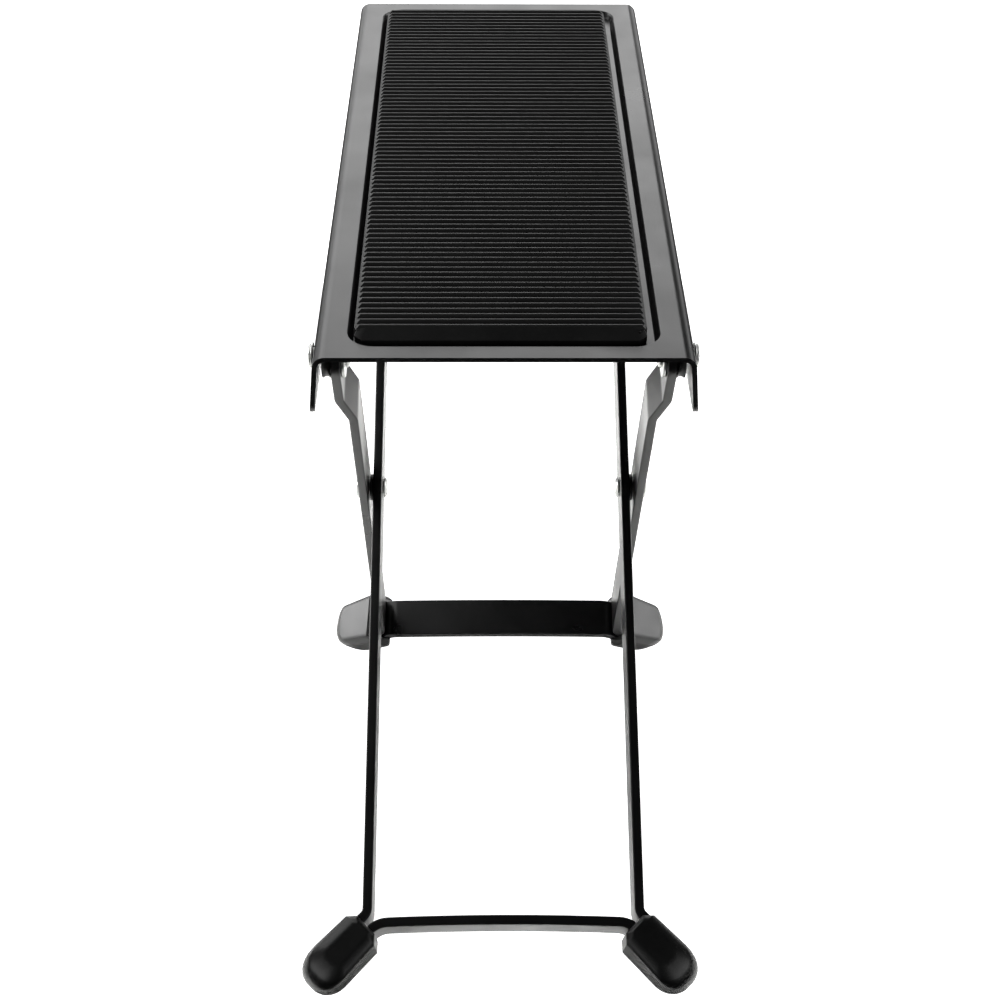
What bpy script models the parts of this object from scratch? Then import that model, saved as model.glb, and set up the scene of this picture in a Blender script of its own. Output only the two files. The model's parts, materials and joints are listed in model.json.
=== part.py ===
"""Folding guitar footrest: a ribbed rubber pad on a pressed steel plate over two crossed leg frames.

The plate is hinged to the rear leg frame near its front end. The front leg frame is pinned to the
rear one halfway down, and its upper end carries a rod that sits in one of five notches under the plate.
Across is X, the front end is at -Y and up is +Z. The footrest stands on the floor at its highest notch.
"""

import math

import bmesh
import bpy
from mathutils import Matrix, Vector

MM = 0.001

# Top plate: a pressed sheet with a shallow tray and two side flanges
PLATE_LENGTH = 262.0 * MM
PLATE_WIDTH = 111.8 * MM
SHEET = 1.5 * MM
BEND_RADIUS = 3.9 * MM
TRAY_END_MARGIN = 6.0 * MM
TRAY_SIDE_MARGIN = 9.9 * MM
TRAY_DEPTH = 2.5 * MM
TRAY_WALL = 1.6 * MM
TRAY_CORNER = 8.5 * MM
TRAY_FLOOR_CORNER = 3.5 * MM
UNDER_WALL_SHIFT = 0.9 * MM
LUG_DEPTH = 19.4 * MM
LUG_LENGTH = 34.0 * MM
LUG_CORNER = 4.0 * MM
LUG_SWEEP = 9.0 * MM
SWEEP_RADIUS = 7.0 * MM
TAIL_DEPTH = 9.5 * MM
TAIL_CORNER = 3.0 * MM

# Notches in the flanges' lower edges, for the catch rod
NOTCH_COUNT = 5
FIRST_NOTCH_SHARE = 0.68817
NOTCH_FIRST = PLATE_LENGTH * FIRST_NOTCH_SHARE
NOTCH_PITCH = 13.0 * MM
NOTCH_HALF_ANGLE = math.radians(32.0)
TOOTH_BELOW_ROD = 0.5 * MM
TOOTH_TIP = 1.2 * MM
ROD_DIAMETER = 6.0 * MM
ROD_DEPTH = 13.0 * MM
ROD_OVERHANG = 0.2 * MM
ROD_CHAMFER = 0.5 * MM
CLIP_DIAMETER = 11.0 * MM
CLIP_THICKNESS = 0.8 * MM

# Rubber pad: it lies loose in the tray, against the tray's left wall and nearer its front
PAD_FRONT_PLAY = 2.2 * MM
PAD_REAR_PLAY = 3.8 * MM
PAD_SIDE_PLAY = 1.1 * MM
PAD_OFFSET = -0.8 * MM
PAD_FRONT = TRAY_END_MARGIN + TRAY_WALL + PAD_FRONT_PLAY
PAD_LENGTH = PLATE_LENGTH - PAD_FRONT - TRAY_END_MARGIN - TRAY_WALL - PAD_REAR_PLAY
PAD_WIDTH = PLATE_WIDTH - 2 * (TRAY_SIDE_MARGIN + TRAY_WALL + PAD_SIDE_PLAY)
PAD_CORNER_CUT = 2.2 * MM
PAD_PROUD = 3.2 * MM
PAD_BEVEL = 1.7 * MM
RIB_COUNT = 79
RIB_HEIGHT = 1.1 * MM

# Leg frames: flat bar bent on edge into a U whose corners run out as ears
BAR_WIDTH = 15.0 * MM
BAR_THICKNESS = 3.0 * MM
HINGE_SPACER_ROOM = 2.8 * MM
LEG_WASHER_ROOM = 1.6 * MM
JOGGLE_STEP = 3.6 * MM
HINGE_HALF_SPAN = PLATE_WIDTH / 2 - SHEET - HINGE_SPACER_ROOM
REAR_HALF_SPAN = HINGE_HALF_SPAN - JOGGLE_STEP
FRONT_HALF_SPAN = REAR_HALF_SPAN - BAR_THICKNESS - LEG_WASHER_ROOM
HINGE_SETBACK = 17.3 * MM
HINGE_DEPTH = 10.5 * MM
REAR_UPPER_ARM = 84.0 * MM
REAR_LOWER_ARM = 112.0 * MM
FRONT_UPPER_ARM = 148.0 * MM
FRONT_LOWER_ARM = 147.5 * MM
JOGGLE_START = 14.5 * MM
JOGGLE_END = 25.8 * MM
JOGGLE_RADIUS = 6.0 * MM
HAIRPIN_RADIUS = 2.2 * MM
LEG_BEND = 3.5 * MM
CROSSBAR_BEND = 8.0 * MM
CROSSBAR_BOW = 0.8 * MM

# Rubber foot caps, pushed over the ears, with a domed outer end
CAP_MOUTH = 0.3 * MM
CAP_END = 24.1 * MM
CAP_HALF_WIDTH = 7.0 * MM
CAP_WALL = 1.7 * MM
CAP_HALF_HEIGHT = BAR_WIDTH / 2 + CAP_WALL
CAP_END_RADIUS = 6.0 * MM
CAP_MOUTH_RADIUS = 3.0 * MM
CAP_BEVEL_IN = 4.0 * MM
CAP_BEVEL_DOWN = 2.7 * MM
CAP_MOUTH_BEVEL = 1.4 * MM
CAP_FACE_DOME = 7.5 * MM
CAP_SHOULDER_DOME = 2.2 * MM
CAP_SIDE_DOME = 0.6 * MM
CAP_END_WALL = 6.2 * MM

# Rivets, washers and spacers
RIVET_SHANK = 5.0 * MM
HINGE_HEAD = 7.2 * MM
HINGE_HEAD_HEIGHT = 1.9 * MM
HINGE_WASHER = 8.0 * MM
HINGE_WASHER_THICKNESS = 0.7 * MM
SPACER_DIAMETER = 13.4 * MM
SPACER_WAIST = 12.6 * MM
INNER_WASHER = 13.0 * MM
INNER_WASHER_THICKNESS = 0.9 * MM
LEG_HEAD = 7.0 * MM
LEG_HEAD_HEIGHT = 1.5 * MM
LEG_WASHER = 9.0 * MM
CLINCH_HEIGHT = 1.2 * MM

# Fits
GAP = 0.3 * MM
OVERRUN = 5.0 * MM

# Folding: the least angles between the pieces when the footrest lies flat
FLAT_LEG_ANGLE = math.radians(9.5)
FLAT_PLATE_ANGLE = math.radians(8.0)

FIRST_MOVE_SHARE = 0.001

# Fineness of the round stretches, and the closeness at which points count as one
ROUND_STEPS = 24
ARC_STEP = math.radians(15.0)
TRAY_CORNER_STEPS = 6
WALL_STEPS = 5
BEND_STEPS = 4
END_STEPS = 6
CAP_CORNER_STEPS = 5
NOTCH_STEPS = 6
TILT_ROUNDS = 12
SAME_POINT = 0.0001 * MM
SAME_ROW = 0.01 * MM


def clear_scene():
    """Remove whatever objects the file starts with."""
    for old in list(bpy.data.objects):
        bpy.data.objects.remove(old, do_unlink=True)


def material(name, colour, roughness, metallic):
    """A plain surface of one colour."""
    made = bpy.data.materials.new(name)
    made.use_nodes = True
    surface = made.node_tree.nodes["Principled BSDF"]
    surface.inputs["Base Color"].default_value = (*colour, 1.0)
    surface.inputs["Roughness"].default_value = roughness
    surface.inputs["Metallic"].default_value = metallic
    return made


def rounded_path(corners, radii):
    """An open path through corner points, each inner corner turned on its own radius."""
    path = [Vector(corners[0])]
    for before, corner, after, radius in zip(corners, corners[1:], corners[2:], radii):
        corner = Vector(corner)
        back = (Vector(before) - corner).normalized()
        ahead = (Vector(after) - corner).normalized()
        turn = math.pi - back.angle(ahead)
        if radius <= 0.0 or turn < 1e-4:
            path.append(corner)
            continue
        reach = radius * math.tan(turn / 2)
        centre = corner + (back + ahead).normalized() * (radius / math.cos(turn / 2))
        start = corner + back * reach - centre
        way = 1.0 if back.x * ahead.y - back.y * ahead.x < 0.0 else -1.0
        steps = max(2, math.ceil(turn / ARC_STEP))
        for step in range(steps + 1):
            spoke = start.copy()
            spoke.rotate(Matrix.Rotation(way * turn * step / steps, 2))
            path.append(centre + spoke)
    path.append(Vector(corners[-1]))
    return path


def mesh_of(work, name):
    """Close a bmesh into a mesh with outward faces and smooth round stretches."""
    bmesh.ops.remove_doubles(work, verts=work.verts, dist=SAME_POINT)
    bmesh.ops.recalc_face_normals(work, faces=work.faces)
    mesh = bpy.data.meshes.new(name)
    work.to_mesh(mesh)
    work.free()
    mesh.shade_smooth()
    mesh.set_sharp_from_angle(angle=math.radians(35.0))
    return mesh


def prism(outline, travel):
    """A solid made by moving a flat outline of points along a straight line."""
    work = bmesh.new()
    face = work.faces.new([work.verts.new(point) for point in outline])
    grown = bmesh.ops.extrude_face_region(work, geom=[face])["geom"]
    moved = [item for item in grown if isinstance(item, bmesh.types.BMVert)]
    bmesh.ops.translate(work, verts=moved, vec=travel)
    return work


def turned(profile, closed=False):
    """A solid of revolution about X, from (x, radius) points that end on the axis or form a closed loop."""
    work = bmesh.new()
    points = [work.verts.new((x, 0.0, radius)) for x, radius in profile]
    following = points[1:] + points[:1] if closed else points[1:]
    edges = [work.edges.new(ends) for ends in zip(points, following)]
    bmesh.ops.spin(
        work,
        geom=points + edges,
        cent=(0.0, 0.0, 0.0),
        axis=(1.0, 0.0, 0.0),
        angle=math.tau,
        steps=ROUND_STEPS,
        use_merge=True,
    )
    return work


def ring(inner, outer, low, high, waist=None):
    """A turned washer between two X planes, its outer side drawn in at the middle if it has a waist."""
    profile = [(low, inner), (low, outer)]
    if waist:
        middle = (low + high) / 2
        flank = (high - low) / 4
        profile += [(middle - flank, waist), (middle + flank, waist)]
    profile += [(high, outer), (high, inner)]
    return turned(profile, closed=True)


def carve(mesh, cutters):
    """Cut solids out of a mesh and return the mesh that is left."""
    body = bpy.data.objects.new("body", mesh)
    bpy.context.scene.collection.objects.link(body)
    tools = []
    for cutter in cutters:
        tool = bpy.data.objects.new("tool", mesh_of(cutter, "tool"))
        bpy.context.scene.collection.objects.link(tool)
        cut = body.modifiers.new("cut", "BOOLEAN")
        cut.operation = "DIFFERENCE"
        cut.solver = "EXACT"
        cut.object = tool
        tools.append(tool)
    graph = bpy.context.evaluated_depsgraph_get()
    left = bpy.data.meshes.new_from_object(body.evaluated_get(graph))
    left.name = mesh.name
    left.shade_smooth()
    left.set_sharp_from_angle(angle=math.radians(35.0))
    for used in [body] + tools:
        bpy.data.objects.remove(used, do_unlink=True)
    return left


def place(name, mesh, surface, parent, location=(0.0, 0.0, 0.0), rotation=(0.0, 0.0, 0.0)):
    """Put a sub-part on its parent."""
    part = bpy.data.objects.new(name, mesh)
    bpy.context.scene.collection.objects.link(part)
    if not mesh.materials:
        mesh.materials.append(surface)
    part.parent = parent
    part.location = location
    part.rotation_euler = rotation
    return part


def axis_empty(name, parent, location, tilt):
    """An empty on a hinge axis or a frame, turned about X."""
    marker = bpy.data.objects.new(name, None)
    bpy.context.scene.collection.objects.link(marker)
    marker.parent = parent
    marker.location = location
    marker.rotation_euler = (tilt, 0.0, 0.0)
    return marker


def triangle_angle(near_side, other_side, far_side):
    """The angle between two sides of a triangle, opposite its far side."""
    square = near_side**2 + other_side**2 - far_side**2
    return math.acos(square / (2 * near_side * other_side))


def leg_angles():
    """The angles of the rear and front legs to the plate, with the rod in the first notch."""
    run = NOTCH_FIRST - HINGE_SETBACK
    drop = ROD_DEPTH - HINGE_DEPTH
    reach = math.hypot(run, drop)
    slope = math.atan2(drop, run)
    rear = triangle_angle(REAR_UPPER_ARM, reach, FRONT_UPPER_ARM) + slope
    front = triangle_angle(FRONT_UPPER_ARM, reach, REAR_UPPER_ARM) - slope
    return rear, front


def rod_track(folded):
    """Where the rod's centre lies under the plate as (distance, depth), for a share of the fold."""
    rear_open, front_open = leg_angles()
    rear = rear_open + folded * (FLAT_PLATE_ANGLE - rear_open)
    crossing = rear_open + front_open
    crossing += folded * (FLAT_LEG_ANGLE - rear_open - front_open)
    front = crossing - rear
    along = HINGE_SETBACK + REAR_UPPER_ARM * math.cos(rear) + FRONT_UPPER_ARM * math.cos(front)
    depth = HINGE_DEPTH + REAR_UPPER_ARM * math.sin(rear) - FRONT_UPPER_ARM * math.sin(front)
    return along, depth


def tray_loop(inset, height, radius):
    """One level of the tray's wall: a rectangle with rounded corners, as points."""
    half_x = PLATE_WIDTH / 2 - TRAY_SIDE_MARGIN - inset
    low_y = TRAY_END_MARGIN + inset
    high_y = PLATE_LENGTH - TRAY_END_MARGIN - inset
    points = []
    for turn, sign_x, centre_y in ((0, 1, high_y), (1, -1, high_y), (2, -1, low_y), (3, 1, low_y)):
        centre_x = sign_x * (half_x - radius)
        centre = centre_y - radius if turn < 2 else centre_y + radius
        for step in range(TRAY_CORNER_STEPS + 1):
            angle = (turn + step / TRAY_CORNER_STEPS) * math.pi / 2
            x = centre_x + radius * math.cos(angle)
            y = centre + radius * math.sin(angle)
            points.append((x, y, height))
    return points


def flat_edge_loop(height):
    """The edge of the plate's flat top, with one point for each point of the tray's rim."""
    half_x = PLATE_WIDTH / 2 - BEND_RADIUS
    middle = TRAY_CORNER_STEPS // 2
    points = []
    for index, (x, y, _) in enumerate(tray_loop(0.0, 0.0, TRAY_CORNER)):
        turn, step = divmod(index, TRAY_CORNER_STEPS + 1)
        side_x = math.copysign(half_x, x)
        end_y = PLATE_LENGTH if turn < 2 else 0.0
        first_on_side = turn in (0, 2)
        if step == middle:
            points.append((side_x, end_y, height))
        elif (step < middle) == first_on_side:
            points.append((side_x, y, height))
        else:
            points.append((x, end_y, height))
    return points


def sheet_face(work, height, bend, wall):
    """One face of the pressed sheet: tray, flat top, bends and flanges."""
    loops = [[work.verts.new(p) for p in tray_loop(*level)] for level in wall]
    rim = [work.verts.new(p) for p in flat_edge_loop(height)]
    count = len(rim)
    for outer, inner in zip([rim] + loops, loops):
        for i in range(count):
            j = (i + 1) % count
            work.faces.new((outer[i], outer[j], inner[j], inner[i]))
    work.faces.new(loops[-1])
    half_x = PLATE_WIDTH / 2 - BEND_RADIUS
    for sign in (1, -1):
        row = [v for v in rim if abs(v.co.x - sign * half_x) < SAME_ROW]
        row.sort(key=lambda v: sign * v.co.y)
        for step in range(1, BEND_STEPS + 1):
            angle = step / BEND_STEPS * math.pi / 2
            x = sign * (half_x + bend * math.sin(angle))
            z = height - bend * (1 - math.cos(angle))
            row = strip(work, row, [(x, v.co.y, z) for v in row])
        strip(work, row, [(v.co.x, v.co.y, -LUG_DEPTH) for v in row])


def strip(work, row, spots):
    """Join a row of points to a new row and return the new one."""
    fresh = [work.verts.new(spot) for spot in spots]
    for i in range(len(row) - 1):
        work.faces.new((row[i], row[i + 1], fresh[i + 1], fresh[i]))
    return fresh


def wall_levels(height, shift):
    """The tray wall from rim to floor, as (inset, height, corner radius), on one face of the sheet."""
    levels = []
    for step in range(WALL_STEPS + 1):
        share = step / WALL_STEPS
        drop = TRAY_DEPTH * (1 - math.cos(math.pi * share)) / 2
        radius = TRAY_CORNER + share * (TRAY_FLOOR_CORNER - TRAY_CORNER)
        levels.append((TRAY_WALL * share - shift, height - drop, radius + shift))
    return levels


def plate_sheet():
    """The pressed sheet as a closed solid, its flanges still at full depth all along."""
    work = bmesh.new()
    sheet_face(work, 0.0, BEND_RADIUS, wall_levels(0.0, 0.0))
    sheet_face(work, -SHEET, BEND_RADIUS - SHEET, wall_levels(-SHEET, UNDER_WALL_SHIFT))
    open_edges = [e for e in work.edges if e.is_boundary]
    bmesh.ops.bridge_loops(work, edges=open_edges)
    return mesh_of(work, "top_plate")


def first_ramp():
    """The slope on which the rod leaves its first notch as the footrest folds, as an angle."""
    start = rod_track(0.0)
    ahead = rod_track(FIRST_MOVE_SHARE)
    return math.atan2(ahead[1] - start[1], ahead[0] - start[0])


def notch_outline(centre, relieved):
    """One notch from its front tooth tip to its rear one, as (distance, depth) points."""
    radius = ROD_DIAMETER / 2 + GAP
    tooth = ROD_DEPTH + TOOTH_BELOW_ROD
    half_mouth = (NOTCH_PITCH - TOOTH_TIP) / 2
    lean = NOTCH_HALF_ANGLE
    first = -(math.pi / 2 - lean)
    last = first_ramp() if relieved else math.pi / 2 - lean
    points = [(centre - half_mouth, tooth)]
    for step in range(NOTCH_STEPS + 1):
        angle = first + (last - first) * step / NOTCH_STEPS
        points.append((centre + radius * math.sin(angle), ROD_DEPTH - radius * math.cos(angle)))
    if relieved:
        slope = first_ramp()
        depth = ROD_DEPTH - (radius - half_mouth * math.sin(slope)) / math.cos(slope)
        points.append((centre + half_mouth, depth))
    else:
        points.append((centre + half_mouth, tooth))
    return points


def flange_outline():
    """The flanges' lower outline from the front end to the rear, as (distance, depth) points."""
    tooth = ROD_DEPTH + TOOTH_BELOW_ROD
    lug_end = (LUG_LENGTH, LUG_DEPTH)
    sweep_end = (LUG_LENGTH + LUG_SWEEP, tooth)
    rack_front = (NOTCH_FIRST - NOTCH_PITCH, tooth)
    corners = [(0.0, LUG_DEPTH - 2 * LUG_CORNER), (0.0, LUG_DEPTH), lug_end, sweep_end, rack_front]
    outline = rounded_path(corners, [LUG_CORNER, SWEEP_RADIUS, SWEEP_RADIUS])
    points = [(p.x, p.y) for p in outline[1:]]
    for number in range(NOTCH_COUNT):
        points += notch_outline(NOTCH_FIRST + number * NOTCH_PITCH, number == 0)
    last = points[-1][0]
    tail = [(last, tooth), (last + TOOTH_TIP, tooth), (last + LUG_SWEEP, TAIL_DEPTH)]
    tail += [(PLATE_LENGTH, TAIL_DEPTH), (PLATE_LENGTH, TAIL_DEPTH - 2 * TAIL_CORNER)]
    ending = rounded_path(tail, [TAIL_CORNER, TAIL_CORNER, TAIL_CORNER])
    points += [(p.x, p.y) for p in ending[1:-1]]
    return points


def below_flanges():
    """The waste below the flanges' outline, as a solid that is wider than the plate."""
    outline = flange_outline()
    floor = LUG_DEPTH + OVERRUN
    front = (-OVERRUN, outline[0][1])
    rear = (PLATE_LENGTH + OVERRUN, outline[-1][1])
    loop = [front] + outline + [rear, (rear[0], floor), (-OVERRUN, floor)]
    reach = PLATE_WIDTH / 2 + OVERRUN
    return prism([(-reach, y, -depth) for y, depth in loop], (2 * reach, 0.0, 0.0))


def crossing_hole(y, z, radius, half_length):
    """A round hole right through along X."""
    work = turned([(-half_length, 0.0), (-half_length, radius), (half_length, radius), (half_length, 0.0)])
    bmesh.ops.translate(work, verts=work.verts, vec=(0.0, y, z))
    return work


def build_plate(surface, plate_frame):
    """The plate: pressed sheet, flange outline with its notches, and the hinge holes."""
    reach = PLATE_WIDTH / 2 + OVERRUN
    hinge = crossing_hole(HINGE_SETBACK, -HINGE_DEPTH, RIVET_SHANK / 2 + GAP, reach)
    mesh = carve(plate_sheet(), [below_flanges(), hinge])
    return place("top_plate", mesh, surface, plate_frame)


def rib_profile():
    """The pad's ribbed top from front to rear, as (distance, height) points over the pad's underside."""
    top = PAD_PROUD + TRAY_DEPTH - GAP
    valley = top - RIB_HEIGHT
    run = PAD_LENGTH - 2 * PAD_BEVEL
    pitch = run / RIB_COUNT
    rib_shares = ((0.0, 0.0), (0.16, 0.0), (0.30, 0.85), (0.5, 1.0), (0.70, 0.85), (0.84, 0.0))
    points = [(0.0, top - PAD_BEVEL)]
    for number in range(RIB_COUNT):
        for along_share, height_share in rib_shares[1:]:
            distance = PAD_BEVEL + (number + along_share) * pitch
            points.append((distance, valley + height_share * RIB_HEIGHT))
    points.append((PAD_LENGTH, top - PAD_BEVEL))
    return points


def pad_corner_waste(side, inward, y, height):
    """A wedge that cuts off one upright corner of the pad at 45 degrees."""
    x = side * PAD_WIDTH / 2
    reach = PAD_CORNER_CUT + OVERRUN
    corner = [
        (x - side * reach, y - inward * OVERRUN, -OVERRUN),
        (x + side * OVERRUN, y + inward * reach, -OVERRUN),
        (x + side * OVERRUN, y - inward * OVERRUN, -OVERRUN),
    ]
    return prism(corner, (0.0, 0.0, height + 2 * OVERRUN))


def build_pad(surface, plate_frame):
    """The rubber pad: cross ribs on top, with all four upper edges bevelled."""
    half = PAD_WIDTH / 2
    top = rib_profile()
    shoulder = top[0][1]
    work = bmesh.new()
    rows = []
    for sign in (1, -1):
        row = [work.verts.new((sign * (half - max(0.0, z - shoulder)), y, z)) for y, z in top]
        rows.append(row)
    right, left = rows
    for i in range(len(top) - 1):
        work.faces.new((right[i], right[i + 1], left[i + 1], left[i]))
    corners = {}
    for sign, row in ((1, right), (-1, left)):
        front = work.verts.new((sign * half, 0.0, 0.0))
        rear = work.verts.new((sign * half, PAD_LENGTH, 0.0))
        corners[sign] = (front, rear)
        work.faces.new(row)
        work.faces.new((front, rear, row[-1], row[0]))
    work.faces.new((corners[1][0], corners[-1][0], left[0], right[0]))
    work.faces.new((corners[1][1], corners[-1][1], left[-1], right[-1]))
    work.faces.new((corners[1][0], corners[1][1], corners[-1][1], corners[-1][0]))
    waste = []
    for side in (1, -1):
        for inward, y in ((1, 0.0), (-1, PAD_LENGTH)):
            waste.append(pad_corner_waste(side, inward, y, shoulder + PAD_BEVEL))
    mesh = carve(mesh_of(work, "rubber_pad"), waste)
    seat = (PAD_OFFSET, PAD_FRONT, GAP - TRAY_DEPTH)
    return place("rubber_pad", mesh, surface, plate_frame, seat)


def ear_corner(half_span, crossbar):
    """Where the leg's and the crossbar's centre lines would meet, in the frame's plane."""
    return Vector((half_span - BAR_THICKNESS / 2, crossbar))


def half_frame(half_span, crossbar, top):
    """The right half of a frame's centre line, from the end of its straight leg to mid crossbar."""
    corner = ear_corner(half_span, crossbar)
    along = Vector((1.0, 1.0)).normalized()
    across = Vector((1.0, -1.0)).normalized() * HAIRPIN_RADIUS
    diagonal = math.sqrt(2.0) * HAIRPIN_RADIUS
    tip = corner + along * (CAP_END - CAP_END_WALL - GAP - BAR_THICKNESS / 2)
    crossbar_start = Vector((corner.x - diagonal, crossbar))
    corners = top + [Vector((corner.x, crossbar - diagonal)), tip + across, tip - across, crossbar_start]
    bow_shares = (0.75, 0.5, 0.25, 0.0)
    for share in bow_shares:
        rise = CROSSBAR_BOW * (1.0 - share**2)
        corners.append(Vector((crossbar_start.x * share, crossbar - rise)))
    bends = [JOGGLE_RADIUS] * (len(top) - 1) + [LEG_BEND, HAIRPIN_RADIUS, HAIRPIN_RADIUS, CROSSBAR_BEND]
    bends += [0.0] * (len(bow_shares) - 1)
    return rounded_path(corners, bends)


def bent_bar(right_half, name):
    """Flat bar bent along a centre line, with round ends about the first and last points."""
    path = right_half + [Vector((-p.x, p.y)) for p in reversed(right_half[:-1])]
    half_width = BAR_WIDTH / 2
    half_thick = BAR_THICKNESS / 2
    directions = [(b - a).normalized() for a, b in zip(path, path[1:])]
    rings = []
    for i, point in enumerate(path):
        before = directions[max(i - 1, 0)]
        after = directions[min(i, len(directions) - 1)]
        along = (before + after).normalized()
        side = Vector((along.y, -along.x)) * (half_thick / max(along.dot(before), 0.5))
        rings.append((point, side, half_width))
    for at_start in (True, False):
        point, side, _ = rings[0] if at_start else rings[-1]
        outward = -directions[0] if at_start else directions[-1]
        extra = []
        for step in range(1, END_STEPS):
            angle = step / END_STEPS * math.pi / 2
            reach = point + outward * (half_width * math.sin(angle))
            extra.append((reach, side, half_width * math.cos(angle)))
        rings = list(reversed(extra)) + rings if at_start else rings + extra
    work = bmesh.new()
    loops = []
    for point, side, half in rings:
        near, far = point - side, point + side
        places = ((near, -half), (far, -half), (far, half), (near, half))
        loops.append([work.verts.new((p.x, p.y, z)) for p, z in places])
    for first, second in zip(loops, loops[1:]):
        for i in range(4):
            j = (i + 1) % 4
            work.faces.new((first[i], first[j], second[j], second[i]))
    work.faces.new(loops[0])
    work.faces.new(loops[-1])
    return mesh_of(work, name)


def build_rear_frame(surface, leg_frame):
    """The rear leg frame. Its upper ends step out towards the plate's flanges."""
    leg = REAR_HALF_SPAN - BAR_THICKNESS / 2
    hinge = HINGE_HALF_SPAN - BAR_THICKNESS / 2
    top = [
        Vector((hinge, -REAR_UPPER_ARM)),
        Vector((hinge, JOGGLE_START - REAR_UPPER_ARM)),
        Vector((leg, JOGGLE_END - REAR_UPPER_ARM)),
    ]
    bar = bent_bar(half_frame(REAR_HALF_SPAN, REAR_LOWER_ARM, top), "rear_leg_frame")
    radius = RIVET_SHANK / 2 + GAP
    reach = HINGE_HALF_SPAN + OVERRUN
    holes = [crossing_hole(-REAR_UPPER_ARM, 0.0, radius, reach), crossing_hole(0.0, 0.0, radius, reach)]
    return place("rear_leg_frame", carve(bar, holes), surface, leg_frame)


def build_front_frame(surface, leg_frame):
    """The front leg frame, which lies inside the rear one and carries the catch rod at its top."""
    leg = FRONT_HALF_SPAN - BAR_THICKNESS / 2
    top = [Vector((leg, -FRONT_UPPER_ARM))]
    bar = bent_bar(half_frame(FRONT_HALF_SPAN, FRONT_LOWER_ARM, top), "front_leg_frame")
    reach = FRONT_HALF_SPAN + OVERRUN
    rod_hole = crossing_hole(-FRONT_UPPER_ARM, 0.0, ROD_DIAMETER / 2 + GAP, reach)
    pivot = crossing_hole(0.0, 0.0, RIVET_SHANK / 2 + GAP, reach)
    return place("front_leg_frame", carve(bar, [rod_hole, pivot]), surface, leg_frame)


def cap_outline(inset, mouth_inset, end_inset):
    """A foot cap's outline in the frame's plane: square mouth, rounded outer end."""
    low = CAP_MOUTH + mouth_inset
    high = CAP_END - end_inset
    half = CAP_HALF_WIDTH - inset
    end_radius = CAP_END_RADIUS - inset
    mouth_radius = CAP_MOUTH_RADIUS * half / CAP_HALF_WIDTH
    points = []
    for turn, centre_x, centre_y, radius in (
        (0, high - end_radius, half - end_radius, end_radius),
        (1, low + mouth_radius, half - mouth_radius, mouth_radius),
        (2, low + mouth_radius, mouth_radius - half, mouth_radius),
        (3, high - end_radius, end_radius - half, end_radius),
    ):
        for step in range(CAP_CORNER_STEPS + 1):
            angle = (turn + step / CAP_CORNER_STEPS) * math.pi / 2
            points.append((centre_x + radius * math.cos(angle), centre_y + radius * math.sin(angle)))
    return points


def cap_mesh():
    """A foot cap: a thick rubber sleeve with soft edges and a pocket for the folded ear."""
    work = bmesh.new()
    shoulder = CAP_HALF_HEIGHT - CAP_BEVEL_DOWN
    upper = [
        (shoulder / 2, 0.0, 0.0, CAP_SIDE_DOME),
        (shoulder, 0.0, 0.0, CAP_SHOULDER_DOME),
        (CAP_HALF_HEIGHT, CAP_BEVEL_IN, CAP_MOUTH_BEVEL, CAP_FACE_DOME),
    ]
    levels = [(-z, *insets) for z, *insets in reversed(upper)] + [(0.0, 0.0, 0.0, 0.0)] + upper
    loops = []
    for z, inset, mouth_inset, end_inset in levels:
        outline = cap_outline(inset, mouth_inset, end_inset)
        loops.append([work.verts.new((x, y, z)) for x, y in outline])
    for low, high in zip(loops, loops[1:]):
        for i in range(len(low)):
            j = (i + 1) % len(low)
            work.faces.new((low[i], low[j], high[j], high[i]))
    work.faces.new(loops[0])
    work.faces.new(loops[-1])
    half_pocket = HAIRPIN_RADIUS + BAR_THICKNESS / 2 + GAP
    half_height = BAR_WIDTH / 2 + GAP
    start = (CAP_MOUTH - OVERRUN, half_pocket)
    inner = CAP_END - CAP_END_WALL
    corners = [start, (inner, half_pocket), (inner, -half_pocket), (start[0], -half_pocket)]
    outline = rounded_path(corners, [half_pocket, half_pocket])
    pocket = prism([(p.x, p.y, -half_height) for p in outline], (0.0, 0.0, 2 * half_height))
    return carve(mesh_of(work, "foot_cap"), [pocket])


def build_caps(surface, frames):
    """Four foot caps on the ears of the two frames, all from one moulding."""
    mesh = cap_mesh()
    caps = []
    for end, frame, half_span, crossbar in (
        ("rear", frames["rear"], REAR_HALF_SPAN, REAR_LOWER_ARM),
        ("front", frames["front"], FRONT_HALF_SPAN, FRONT_LOWER_ARM),
    ):
        corner = ear_corner(half_span, crossbar)
        for side, sign in (("right", 1), ("left", -1)):
            turn = math.pi / 4 if sign > 0 else 3 * math.pi / 4
            seat = (sign * corner.x, corner.y, 0.0)
            caps.append(place(f"{end}_foot_{side}", mesh, surface, frame, seat, (0.0, 0.0, turn)))
    return caps


def rivet_mesh(name, head_x, head_height, head_radius, clinch_x):
    """A rivet along +X: domed head with a collar outside, shank, and a low clinched head inside."""
    shank = RIVET_SHANK / 2
    collar = head_height / 3
    dome_shares = ((0.0, 1.0), (0.45, 0.94), (0.8, 0.7), (0.97, 0.36), (1.0, 0.0))
    profile = [(clinch_x - CLINCH_HEIGHT, 0.0)]
    profile.append((clinch_x - CLINCH_HEIGHT, head_radius / 2))
    profile.append((clinch_x - CLINCH_HEIGHT / 2, head_radius))
    profile.append((clinch_x, head_radius))
    profile.append((clinch_x, shank))
    profile.append((head_x, shank))
    profile.append((head_x, head_radius))
    for rise_share, width_share in dome_shares:
        x = head_x + collar + (head_height - collar) * rise_share
        profile.append((x, head_radius * width_share))
    return mesh_of(turned(profile), name)


def pair(name, mesh, surface, parent, location):
    """A piece on the right side and its turned-round copy on the left."""
    place(f"{name}_right", mesh, surface, parent, location)
    place(f"{name}_left", mesh, surface, parent, location, (0.0, 0.0, math.pi))


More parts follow.
